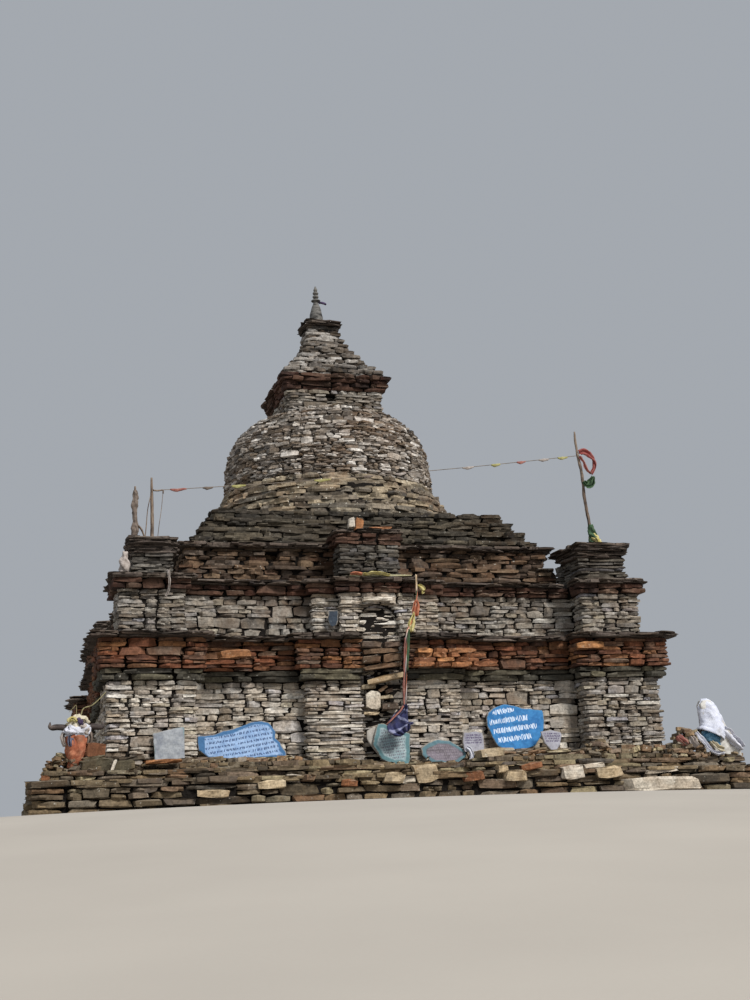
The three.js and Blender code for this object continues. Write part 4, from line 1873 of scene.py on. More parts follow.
@dataclass(frozen=True)
class Rod:
    """A round rod, stick, rope or horn: its bent middle line, its radii along the way and its lumps."""

    path: tuple[Point, ...]
    radii: tuple[float, ...]
    side: Point = (1.0, 0.0, 0.0)
    sides: int = 10
    lumps: float = 0.12
    steps: int = 8

    GRAIN: ClassVar[float] = 14

    def shape(self) -> bmesh.types.BMesh:
        """Builds the rod's closed surface.

        Returns:
            A mesh for its caller to free.
        """
        curve = spline(self.path, self.steps)
        first, second = across(curve, self.side)
        rows = []
        for centre, one, other, radius in zip(curve, first, second, spread(self.radii, len(curve))):
            row = []
            for angle in np.arange(self.sides) * 2 * math.pi / self.sides:
                away = one * math.cos(angle) + other * math.sin(angle)
                spot = Vector((centre + away * radius) * self.GRAIN)
                row.append(centre + away * radius * (1 + self.lumps * noise.noise(spot)))
            rows.append(row)
        return lofted(np.array(rows), ring=True, capped=True)


@dataclass(frozen=True)
class Rods:
    """Rods of one material that make one piece."""

    name: str
    finish: AgedFinish
    rods: tuple[Rod, ...]
    node: str = ""
    slot: str = "weathered_wood"

    def build(self) -> bpy.types.Object:
        """Builds the piece.

        Returns:
            The piece.
        """
        parts = [to_object(rod.shape(), f"{self.name}_{index}") for index, rod in enumerate(self.rods)]
        piece = joined(self.name, parts)
        piece.data.materials.append(self.finish.material())
        return settled(piece, self.node)


@dataclass(frozen=True)
class Cloth:
    """A pleated sheet of cloth that spreads to both sides of a line.

    Where it is narrower than its cut, pleats take up the rest of its width.
    """

    name: str
    finish: ClothFinish
    path: tuple[Point, ...]
    spans: tuple[float, ...]
    flat: Range
    rests_on: str
    side: Point = (1.0, 0.0, 0.0)
    held: str = "hung"
    node: str = ""
    slot: str = ""
    pleats: float = 3.0
    crumple: float = 0.012
    deepest: float = 0.035
    thickness: float = 0.003
    seed: int = 1

    STEP: ClassVar[float] = 0.02
    FEWEST_STEPS: ClassVar[int] = 10
    COLUMNS: ClassVar[int] = 12
    CREASES: ClassVar[float] = 16
    APART: ClassVar[float] = 3.7
    LEAST_GATHER: ClassVar[float] = 1.02

    def _line(self) -> tuple[np.ndarray, ...]:
        """Follows the cloth's line.

        Returns:
            The line's points, the two directions across it and the span at each point.
        """
        curve = even(spline(self.path), max(self.FEWEST_STEPS, round(self.flat[1] / self.STEP)))
        return curve, *across(curve, self.side), spread(self.spans, len(curve))

    def _shift(self) -> Vector:
        """Keeps each cloth's creases apart from the others'."""
        return Vector((self.seed * self.APART, 0, 0))

    def _creased(self, point: np.ndarray) -> np.ndarray:
        """Moves a point a little, as a crease does."""
        crease = noise.noise_vector(Vector(point * self.CREASES) + self._shift())
        return point + np.array(crease) * self.crumple

    def _rows(self) -> np.ndarray:
        """Gives the sheet's points.

        Returns:
            Rows of points down the cloth.
        """
        columns = np.linspace(-0.5, 0.5, int(self.COLUMNS * self.pleats) + 1)
        shift = self._shift()
        rows = []
        for step, (centre, side, out, span) in enumerate(zip(*self._line())):
            gather = max(self.LEAST_GATHER, self.flat[0] / span)
            deep = min(self.deepest, span / (2 * math.pi * self.pleats) * math.sqrt(2 * (gather**2 - 1)))
            row = []
            for column in columns:
                wander = noise.noise(Vector((column * 2, step * 0.08, 0)) + shift)
                fold = math.sin(2 * math.pi * self.pleats * column + 2.5 * wander + self.seed)
                row.append(self._creased(centre + side * span * column + out * (deep * fold)))
            rows.append(row)
        return np.array(rows)

    def build(self) -> bpy.types.Object:
        """Returns:
            The cloth.
        """
        piece = to_object(lofted(self._rows()), self.name)
        piece.data.materials.append(self.finish.material())
        body = piece.modifiers.new("thickness", "SOLIDIFY")
        body.thickness = self.thickness
        body.offset = 0.0
        settled(plain(piece), self.node)
        return piece


@dataclass(frozen=True)
class Wrap(Cloth):
    """A sheet of cloth wound round something, with its spans as the widths of the bundle."""

    squash: float = 1.0
    twist: float = 2.0
    lumps: float = 0.22

    STEP: ClassVar[float] = 0.018
    COLUMNS: ClassVar[int] = 14
    CREASES: ClassVar[float] = 22
    APART: ClassVar[float] = 5.3
    LAP: ClassVar[float] = 0.006

    def _rows(self) -> np.ndarray:
        """Gives the bundle's points, open along one side where the edges lap.

        Returns:
            Rows of points down the bundle.
        """
        line = self._line()
        angles = np.linspace(-math.pi, math.pi, int(self.COLUMNS * self.pleats) + 1)
        shift = self._shift()
        rows = []
        for step, (centre, side, out, span) in enumerate(zip(*line)):
            share = step / (len(line[0]) - 1)
            row = []
            for angle in angles:
                away = side * math.cos(angle) + out * math.sin(angle) * self.squash
                lump = noise.noise(Vector(away * 1.6 + centre * 9) + shift)
                ridge = math.sin(self.pleats * angle + self.twist * share * 2 * math.pi)
                radius = span / 2 * (1 + self.lumps * lump + 0.5 * self.lumps * ridge)
                lap = self.LAP * angle / math.pi
                row.append(self._creased(centre + away * (radius + lap)))
            rows.append(row)
        return np.array(rows)


@dataclass(frozen=True)
class SetStone:
    """One listed stone: its middle, its size and its turns in degrees."""

    place: Point
    size: Point
    turn: Point = (0.0, 0.0, 0.0)
    shape: StoneShape = StoneShape.SLAB
    walled: bool = False


@dataclass(frozen=True)
class Heap:
    """A heap of loose stones: an ellipse on the ground or a ledge, highest in its middle."""

    middle: Point
    reach: Range
    height: float
    count: int
    length: Range = (0.06, 0.2)

    THINNEST: ClassVar[float] = 0.018
    LEAN: ClassVar[float] = 9
    CHUNKY: ClassVar[float] = 0.35

    def drop(self, pile: Pile, stock: StoneStock) -> None:
        """Drops stones one after another, each onto those below it.

        Args:
            pile: The pile that takes the stones.
            stock: The shapes to pick from.
        """
        rng = pile.rng
        resting: list[tuple[float, float, float, float]] = []
        for _ in range(self.count):
            angle, away = rng.uniform(0, 2 * math.pi), math.sqrt(rng.random())
            x = self.middle[0] + self.reach[0] * away * math.cos(angle)
            y = self.middle[1] + self.reach[1] * away * math.sin(angle)
            length = rng.uniform(*self.length)
            wide = length * rng.uniform(0.5, 0.85)
            thick = max(self.THINNEST, length * rng.uniform(0.16, 0.5))
            under = [
                top
                for at_x, at_y, half, top in resting
                if math.hypot(x - at_x, y - at_y) < half + length * 0.22
            ]
            floor = max(under, default=self.middle[2])
            allowed = self.middle[2] + self.height * (1 - away**1.5)
            if floor > allowed:
                continue
            slope = math.degrees(math.atan2(self.height, min(self.reach))) * away * 0.5
            one, other = rng.uniform(-self.LEAN, self.LEAN, 2)
            leans = (one - slope * math.sin(angle), other)
            turn = (*(math.radians(part) for part in leans), rng.uniform(0, 2 * math.pi))
            shape = StoneShape.BLOCK if thick > length * self.CHUNKY else StoneShape.FLAG
            pile.add((x, y, floor + thick * 0.42), turn, (length, wide, thick), stock.pick(shape, rng))
            resting.append((x, y, length * 0.3, floor + thick * 0.8))


@dataclass(frozen=True)
class Courses:
    """A few courses of flat stones along a straight line, from the left end of their foot."""

    start: Point
    length: float
    rows: int
    row: float = 0.045
    depth: float = 0.3
    lengths: Range = (0.16, 0.42)

    JOINT: ClassVar[float] = 0.006
    ENDS: ClassVar[Range] = (-0.06, 0.06)
    STAND: ClassVar[Range] = (-0.02, 0.02)
    TURN: ClassVar[Range] = (-0.04, 0.04)

    def drop(self, pile: Pile, stock: StoneStock) -> None:
        """Lays the courses from the foot up.

        Args:
            pile: The pile that takes the stones.
            stock: The shapes to pick from.
        """
        rng = pile.rng
        left, y, foot = self.start
        for index in range(self.rows):
            x = left + rng.uniform(*self.ENDS)
            while x < left + self.length:
                length = rng.uniform(*self.lengths)
                place = (x + length / 2, y + rng.uniform(*self.STAND), foot + (index + 0.5) * self.row)
                depth = self.depth * rng.uniform(0.85, 1.1)
                size = (length - self.JOINT, depth, self.row * rng.uniform(0.85, 1.15))
                pile.add(place, rng.uniform(*self.TURN, 3), size, stock.pick(StoneShape.SLAB, rng))
                x += length


@dataclass(frozen=True)
class LooseStones:
    """Stones that lie or stand by themselves: some listed one by one, some in heaps."""

    name: str
    slot: str
    finish: StoneFinish
    stones: tuple[SetStone, ...] = ()
    heaps: tuple[Heap | Courses, ...] = ()
    node: str = ""
    hollows: tuple[tuple[Point, Point], ...] = ()

    def reserve(self, mason: Mason) -> None:
        """Keeps the courses out of the hollows and the places of the stones that are part of a wall.

        Args:
            mason: The mason who lays the courses.
        """
        for stone in self.stones:
            if stone.walled:
                mason.keep_free(stone.place, stone.size)
        for place, size in self.hollows:
            mason.keep_free(place, size)

    def build(self, mason: Mason, seed: int) -> bpy.types.Object:
        """Builds them as one piece.

        Args:
            mason: The mason whose stones and materials are used.
            seed: What fixes the group's chances.

        Returns:
            The group as one object.
        """
        pile = Pile(seed)
        for stone in self.stones:
            turn = [math.radians(part) for part in stone.turn]
            pile.add(stone.place, turn, stone.size, mason.stock.pick(stone.shape, pile.rng))
        for heap in self.heaps:
            heap.drop(pile, mason.stock)
        return settled(mason.stones(self.name, pile, self.finish), self.node)


ROUND_PAINT = PaintFinish(
    "round_slab_paint", ("#2a639a", "#3b7ab0"), "#37719f", "#d3dfee", border_width=0.02, uneven=0.02,
    row=0.13, mark=0.026, rows=(0.0, 4.0), tilt=math.radians(7), middle=(1.66, 0, 0.91), band=0.62,
    zigzag=1.6, worn_from=0.68, stroke_share=0.85,
    spans=((-0.21, 0.28), (-0.25, 0.4), (-0.35, 0.3), (-0.2, 0.13)),
)
LONG_PAINT = PaintFinish(
    "long_slab_paint", ("#7b98bf", "#94aed0"), "#3f6892", "#2b3f66", border_width=0.03, uneven=0.16,
    strip=-2.555, row=0.062, mark=0.03, tilt=math.radians(9), middle=(-2.1, 0, 0.7), band=0.7,
    worn_from=0.72,
)
POINTED_PAINT = PaintFinish(
    "pointed_slab_paint", ("#83989d", "#a2b1b3"), "#58787d", "#5b5160", border_width=0.055, uneven=0.04,
    row=0.038, mark=0.02, tilt=math.radians(6), stroke_share=0.75,
)
OVAL_PAINT = PaintFinish(
    "oval_slab_paint", ("#5c565b", "#77707a"), "#56737c", "#9a9298", border_width=0.05, uneven=0.07,
    row=0.036, mark=0.02, stroke_share=0.4,
)
GREY_PAINT = PaintFinish(
    "grey_slab_face", ("#777c84", "#969a9e"), "#5f8289", "#737a84", border_width=0.008, uneven=0.12,
    stroke_share=0.0, worn_from=0.69,
)
LAVENDER_PAINT = PaintFinish(
    "small_slab_face", ("#84838e", "#9a9aa3"), "#8b8b95", "#443a5a", border_width=0.015, uneven=0.04,
    row=0.034, mark=0.018, rows=(0.0, 99.0), middle=(0, 0, 0.9), stroke_share=0.9,
)
SHIELD_FACE = PaintFinish(
    "shield_face", ("#2b333e", "#38414c"), "#313943", "#4c5560", border_width=0.012, row=0.05, mark=0.03,
    stroke_share=0.15, worn_from=0.72,
)
PALE_FACE = PaintFinish("pale_stone_face", ("#8f8b84", "#a5a19a"), "#9b968e", "#8a857d", stroke_share=0.0)

GREY_WOOD = AgedFinish(
    "grey_wood", ("#3d322d", "#6a5a4e", "#8a7b6c", "#54463c"), (34, 34, 2.2), "#2c2523", 0.5, 0.9, 0.8, 0.008,
)
STRAW = AgedFinish("straw", ("#86805e", "#b3ae8c", "#9a9472"), (30, 30, 6), "#6b6040", 0.3)
TWIG = AgedFinish("twig", ("#4d4634", "#8d8664", "#67603f"), (30, 30, 6), "#3c3524", 0.5)
LINE_CORD = AgedFinish(
    "line_cord", ("#4a423c", "#857a6e", "#62584f"), (4, 70, 70), "#3a332e", 0.4, 0.95, 0.8, 0.003,
)
DRY_BONE = AgedFinish(
    "dry_bone", ("#b9ad96", "#d6ccb8", "#a2957e"), (9, 9, 5), "#6f6350", 0.5, 0.8, 0.6, 0.006,
)
HORN = AgedFinish(
    "dark_horn", ("#2b2524", "#463d3a", "#1f1a1a"), (6, 40, 40), "#7a6d63", 0.4, 0.7, 0.6, 0.005,
)
OLD_METAL = AgedFinish(
    "old_metal", ("#1d1c1c", "#393735", "#6b6965", "#292726"), (5, 5, 24), "#6f6b64", 0.5, 0.7, 0.5, 0.006,
)
ORANGE_WASH = AgedFinish(
    "orange_wash", ("#a85a3a", "#c97a55", "#8f4c33", "#d08a66"), (7, 7, 10), "#7d4a35", 0.45, 0.95, 0.7,
    0.012,
)
WHITE_WASH = AgedFinish("white_wash", ("#a5a29c", "#c9c7c2", "#8d8780"), (5, 5, 5), "#7a7268", 0.4)

RED_CLOTH = ClothFinish("red_cloth", "#7d3433", "#9d645d")
GREEN_CLOTH = ClothFinish("green_cloth", "#2d4630", "#4f6549")
YELLOW_CLOTH = ClothFinish("yellow_cloth", "#a89a56", "#c2b98a")
ORANGE_CLOTH = ClothFinish("orange_cloth", "#97553d", "#b5795c")
WHITE_CLOTH = ClothFinish("white_cloth", "#b6b8c2", "#d0d0d8", slot="white_cloth")
PRINTED_CLOTH = ClothFinish("printed_white_cloth", "#bfc3d2", "#d2d5e0", slot="white_cloth")
OLIVE_CLOTH = ClothFinish("olive_cloth", "#8f8a52", "#aaa57a")
GREY_CLOTH = ClothFinish("grey_cloth", "#8f857e", "#b3aaa4", slot="white_cloth")
BLUE_CLOTH = ClothFinish("blue_cloth", "#282c4c", "#41446c", seams=0.13, slot="blue_cloth")
PURPLE_CLOTH = ClothFinish("purple_cloth", "#3a2f4a", "#574a66", slot="blue_cloth")
SLATE_CLOTH = ClothFinish("slate_cloth", "#3f4254", "#666a7d", slot="blue_cloth")
CREAM_CLOTH = ClothFinish("cream_cloth", "#b3a88c", "#c9c2b2", slot="white_cloth")
DUSTY_CLOTH = ClothFinish("dusty_cloth", "#5b5048", "#7d7168", slot="white_cloth")
SKY_CLOTH = ClothFinish("sky_cloth", "#3f7398", "#7fa5bb", slot="blue_cloth")
PINK_CLOTH = ClothFinish("pink_cloth", "#865049", "#a3766b")

on_cord = partial(Cloth, rests_on="streamer_cord")
on_pole = partial(Cloth, rests_on="pole_right_wood")
round_pole = partial(Wrap, held="gathered", rests_on="pole_right_wood")
on_ledge = partial(Cloth, held="laid", rests_on="second_cap_slabs_stones")
on_skull = partial(Wrap, held="draped", rests_on="horned_skull_bone")
by_skull = partial(Cloth, rests_on="horned_skull_bone")
on_stone = partial(Wrap, held="draped", rests_on="standing_stone")
on_heap = partial(Cloth, held="draped", rests_on="right_heap", pleats=1.5)
set_block = partial(SetStone, shape=StoneShape.BLOCK)
wedged_block = partial(SetStone, shape=StoneShape.BLOCK, walled=True)


@dataclass(frozen=True)
class Streamer:
    """The long streamer: three strips of cloth twisted into a cord."""

    diameter: float = 0.028
    strand: float = 0.0086
    pitch: float = 0.42
    path: tuple[Point, ...] = (
        (0.384, -3.560, 3.220), (0.376, -3.640, 3.220), (0.371, -3.699, 3.222), (0.368, -3.716, 3.216),
        (0.366, -3.722, 3.188), (0.360, -3.730, 3.070), (0.354, -3.748, 2.960), (0.336, -3.774, 2.860),
        (0.300, -3.812, 2.750), (0.258, -3.858, 2.640), (0.206, -3.914, 2.520), (0.160, -3.956, 2.440),
        (0.128, -3.978, 2.385), (0.110, -3.984, 2.300), (0.098, -3.986, 2.150), (0.088, -3.988, 1.980),
        (0.080, -3.990, 1.800), (0.072, -3.992, 1.620), (0.066, -3.995, 1.480), (0.066, -3.995, 1.404),
    )

    STRANDS: ClassVar[int] = 3
    SIDES: ClassVar[int] = 8
    STEP: ClassVar[float] = 0.012
    LOWER_PART: ClassVar[Range] = (2.3, 2.42)
    UPPER_PART: ClassVar[Range] = (2.95, 3.02)

    def _material(self) -> bpy.types.Material:
        """Builds the cord's material: each strand has its own run of colours from the top down.

        Returns:
            The finished material.
        """
        made = Material("twisted_cloth")
        height = made.apart(made.place())[2]
        strand = made.attribute("strand")
        lower = made.ramp(strand, ("#86503f", "#463b36", "#a39a98"))
        upper = made.ramp(strand, ("#b8a58c", "#c8b6a0", "#a08a6c"))
        middle = made.ramp(strand, ("#a5654f", "#34452f", "#bfa594"))
        ragged = height + (made.noise(made.place(), 6.0, 2.0) - 0.5) * 0.3
        colour = made.mix(ragged.between(*self.LOWER_PART), lower, middle)
        colour = made.mix(ragged.between(*self.UPPER_PART), colour, upper)
        threads = made.noise(made.stretched(made.uv(), (300, 30, 1)), 1.0, 3.0, 0.6)
        return made.finished(made.lit(colour, 0.7 + 0.6 * threads), 0.95, threads, 0.6, 0.003)

    def build(self) -> bpy.types.Object:
        """Returns:
            The cord.
        """
        curve = spline(self.path, 12)
        steps = np.linalg.norm(np.diff(curve, axis=0), axis=1)
        length = float(steps.sum())
        curve = even(curve, round(length / self.STEP))
        first, second = across(curve, (1, 0, 0.02))
        turns = np.linspace(0, length / self.pitch, len(curve)) * 2 * math.pi
        off_middle = self.diameter / 2 - self.strand
        angles = np.arange(self.SIDES) * 2 * math.pi / self.SIDES
        strands = []
        for index in range(self.STRANDS):
            phase = turns + index * 2 * math.pi / self.STRANDS
            away = first * np.cos(phase)[:, None] + second * np.sin(phase)[:, None]
            rows = [
                [point + (one * math.cos(angle) + other * math.sin(angle)) * self.strand for angle in angles]
                for point, one, other in zip(curve + away * off_middle, first, second)
            ]
            part = to_object(lofted(np.array(rows), ring=True, capped=True), f"strand_{index}")
            marks = part.data.attributes.new("strand", "FLOAT", "POINT")
            shade = index / (self.STRANDS - 1)
            marks.data.foreach_set("value", [shade] * len(part.data.vertices))
            strands.append(part)
        piece = joined("streamer_cord", strands)
        piece.data.materials.append(self._material())
        settled(piece, "streamer")
        return piece


def streamer_cloths() -> list[Cloth]:
    """Lists the blue flag at the streamer's foot and the scraps tied along it.

    Returns:
        The cloths.
    """
    return [
        on_cord(
            "streamer_blue_flag", BLUE_CLOTH,
            ((0.055, -3.995, 1.41), (0.04, -3.998, 1.33), (-0.007, -4.0, 1.247), (-0.035, -4.0, 1.138),
             (0.028, -4.0, 1.03)),
            (0.04, 0.08, 0.14, 0.205, 0.28, 0.39, 0.28, 0.13), (0.42, 0.4), node="streamer_flag", pleats=3,
            deepest=0.024, crumple=0.01, seed=4,
        ),
        on_cord(
            "streamer_yellow_scrap", YELLOW_CLOTH,
            ((0.372, -3.728, 3.07), (0.42, -3.735, 3.06), (0.455, -3.74, 3.0), (0.43, -3.742, 2.95)),
            (0.03, 0.07, 0.06, 0.02), (0.1, 0.18), side=(0, 0, 1), pleats=1.5, seed=2,
        ),
        on_cord(
            "streamer_orange_scrap", ORANGE_CLOTH,
            ((0.335, -3.79, 2.85), (0.318, -3.82, 2.78), (0.3, -3.84, 2.7), (0.29, -3.86, 2.62)),
            (0.03, 0.09, 0.11, 0.07), (0.2, 0.25), side=(1, 0, 0.3), pleats=2, seed=3,
        ),
        on_cord(
            "streamer_yellow_flag", YELLOW_CLOTH,
            ((0.275, -3.87, 2.66), (0.235, -3.9, 2.58), (0.2, -3.95, 2.48), (0.19, -3.98, 2.38)),
            (0.03, 0.08, 0.1, 0.05), (0.2, 0.3), side=(1, 0, 0.3), pleats=2, seed=5,
        ),
        Cloth(
            "streamer_pink_hem", PINK_CLOTH,
            ((0.02, -4.02, 1.39), (-0.034, -4.03, 1.321), (-0.107, -4.03, 1.255), (-0.178, -4.028, 1.189),
             (-0.232, -4.02, 1.146)),
            (0.022, 0.02, 0.02, 0.018, 0.012), (0.028, 0.36), rests_on="streamer_blue_flag",
            side=(0.7, 0, -0.7), pleats=1, crumple=0.003, seed=6,
        ),
        on_cord(
            "streamer_rose_strip", PINK_CLOTH,
            ((0.086, -4.0, 2.3), (0.066, -4.004, 2.05), (0.05, -4.006, 1.8), (0.036, -4.008, 1.6),
             (0.03, -4.01, 1.4)),
            (0.016, 0.02, 0.018, 0.024, 0.02), (0.028, 0.9), side=(1, -0.4, 0), pleats=1, crumple=0.004,
            seed=7,
        ),
        on_cord(
            "streamer_green_strip", GREEN_CLOTH,
            ((0.15, -3.975, 2.42), (0.14, -3.985, 2.25), (0.12, -3.99, 2.05), (0.104, -3.995, 1.86)),
            (0.03, 0.05, 0.045, 0.02), (0.07, 0.57), side=(1, 0.3, 0), pleats=1, crumple=0.005, seed=8,
        ),
        Cloth(
            "slab_white_scrap", WHITE_CLOTH,
            ((0.92, -3.83, 0.85), (0.965, -3.845, 0.82), (0.985, -3.85, 0.75), (0.965, -3.86, 0.68),
             (0.95, -3.87, 0.635)),
            (0.05, 0.06, 0.05, 0.04, 0.03), (0.1, 0.25), held="laid", rests_on="oval_blue_slab_stone",
            side=(1, 0, 0.5), pleats=1.5, seed=9,
        ),
    ]


@dataclass(frozen=True)
class FlagLine:
    """The small flags wound round the taut line between the poles."""

    left: Point = (-3.19, -3.21, 4.475)
    right: Point = (3.13, -3.21, 5.19)
    sag: float = 0.05
    drop: float = 0.024

    def at(self, x: float) -> Point:
        """Gives the line's point at a place across.

        Args:
            x: How far to the right.

        Returns:
            The point on the line.
        """
        share = (x - self.left[0]) / (self.right[0] - self.left[0])
        height = self.left[2] + (self.right[2] - self.left[2]) * share - 4 * self.sag * share * (1 - share)
        return (x, self.left[1], height)

    def flag(self, index: int, start: float, length: float, finish: ClothFinish) -> Wrap:
        """Makes one flag, wound round the line and hanging a little below it.

        Args:
            index: The flag's number.
            start: Where it is tied, across.
            length: How far it hangs.
            finish: Its cloth.

        Returns:
            The flag.
        """
        path = [self.at(start + length * share) for share in (0, 0.35, 0.7, 1)]
        drops = (0.0, self.drop * 0.4, self.drop * 0.3, 0.0)
        hanging = tuple((x, y, z - drop) for (x, y, z), drop in zip(path, drops))
        spans = (0.012, 0.036, 0.032, 0.01)
        return Wrap(
            f"line_flag_{index:02d}", finish, hanging, spans, (0.08, length), "flag_line",
            side=(0, 0, 1), held="gathered", slot="cord_cloth", squash=0.5, crumple=0.007, seed=index,
        )

    def flags(self) -> list[Wrap]:
        """Lists the flags from left to right.

        Returns:
            The flags.
        """
        order = (
            (-2.95, 0.22, PINK_CLOTH), (-2.5, 0.14, DUSTY_CLOTH), (-2.1, 0.2, OLIVE_CLOTH),
            (-0.92, 0.24, OLIVE_CLOTH), (-0.2, 0.14, DUSTY_CLOTH), (0.28, 0.16, GREY_CLOTH),
            (1.3, 0.18, GREY_CLOTH), (1.75, 0.14, OLIVE_CLOTH), (2.15, 0.14, PINK_CLOTH),
            (2.5, 0.16, GREY_CLOTH), (2.8, 0.16, OLIVE_CLOTH),
        )
        return [self.flag(index, *entry) for index, entry in enumerate(order, 1)]


POLES = (
    Rods(
        "pole_left_outer_wood", GREY_WOOD,
        (Rod(((-3.44, -3.35, 3.75), (-3.437, -3.352, 4.0), (-3.445, -3.35, 4.25), (-3.44, -3.35, 4.485)),
             (0.024, 0.022, 0.02, 0.012)),),
        "pole_left_outer",
    ),
    Rods(
        "pole_left_inner_wood", GREY_WOOD,
        (Rod(((-3.2, -3.21, 3.75), (-3.197, -3.21, 4.05), (-3.203, -3.212, 4.35), (-3.206, -3.21, 4.655)),
             (0.026, 0.024, 0.022, 0.014)),),
        "pole_left_inner",
    ),
    Rods(
        "pole_right_wood", GREY_WOOD,
        (Rod(((3.262, -3.21, 3.75), (3.244, -3.21, 3.9), (3.229, -3.215, 4.08), (3.208, -3.21, 4.3),
              (3.183, -3.205, 4.55), (3.178, -3.21, 4.78), (3.158, -3.212, 5.0), (3.128, -3.21, 5.19),
              (3.113, -3.205, 5.38), (3.108, -3.205, 5.565)),
             (0.03, 0.027, 0.025, 0.024, 0.025, 0.022, 0.024, 0.021, 0.018, 0.013), lumps=0.3),),
        "pole_right",
    ),
    Rods(
        "scarf_stick", GREY_WOOD,
        (Rod(((-3.6, -3.66, 3.19), (-3.597, -3.655, 3.35), (-3.59, -3.65, 3.5)), (0.016, 0.014, 0.01)),),
    ),
    Rods(
        "ledge_stick", STRAW,
        (Rod(((-0.56, -3.66, 3.216), (-0.2, -3.655, 3.222), (0.15, -3.65, 3.226), (0.32, -3.645, 3.23)),
             (0.012, 0.014, 0.012, 0.008)),),
    ),
    Rods(
        "offering_straw", TWIG,
        (
            Rod(((-4.17, -4.34, 1.2), (-4.14, -4.32, 1.36), (-4.03, -4.3, 1.41), (-3.93, -4.28, 1.5),
             (-3.86, -4.26, 1.58)),
                (0.006, 0.007, 0.008, 0.006, 0.004)),
            Rod(((-4.22, -4.34, 1.2), (-4.22, -4.34, 1.4), (-4.26, -4.35, 1.37), (-4.31, -4.36, 1.32)),
                (0.004, 0.004, 0.004, 0.002)),
        ),
    ),
    Rods(
        "pole_threads", GREY_WOOD,
        (
            Rod(((-3.19, -3.21, 4.478), (-3.12, -3.215, 4.47), (-3.055, -3.22, 4.478), (-3.05, -3.22, 4.43)),
                (0.012, 0.011, 0.012, 0.009)),
            Rod(((-3.05, -3.22, 4.46), (-3.075, -3.23, 4.2), (-3.11, -3.24, 3.95), (-3.13, -3.25, 3.765)),
                (0.004, 0.004, 0.004, 0.004)),
            Rod(((-3.215, -3.215, 4.42), (-3.26, -3.24, 4.2), (-3.28, -3.26, 3.98), (-3.3, -3.28, 3.765)),
                (0.006, 0.006, 0.007, 0.006)),
            Rod(((-3.44, -3.37, 3.96), (-3.36, -3.33, 3.9), (-3.31, -3.29, 3.8), (-3.3, -3.28, 3.765)),
                (0.016, 0.014, 0.012, 0.01)),
        ),
        slot="cord_cloth",
    ),
)

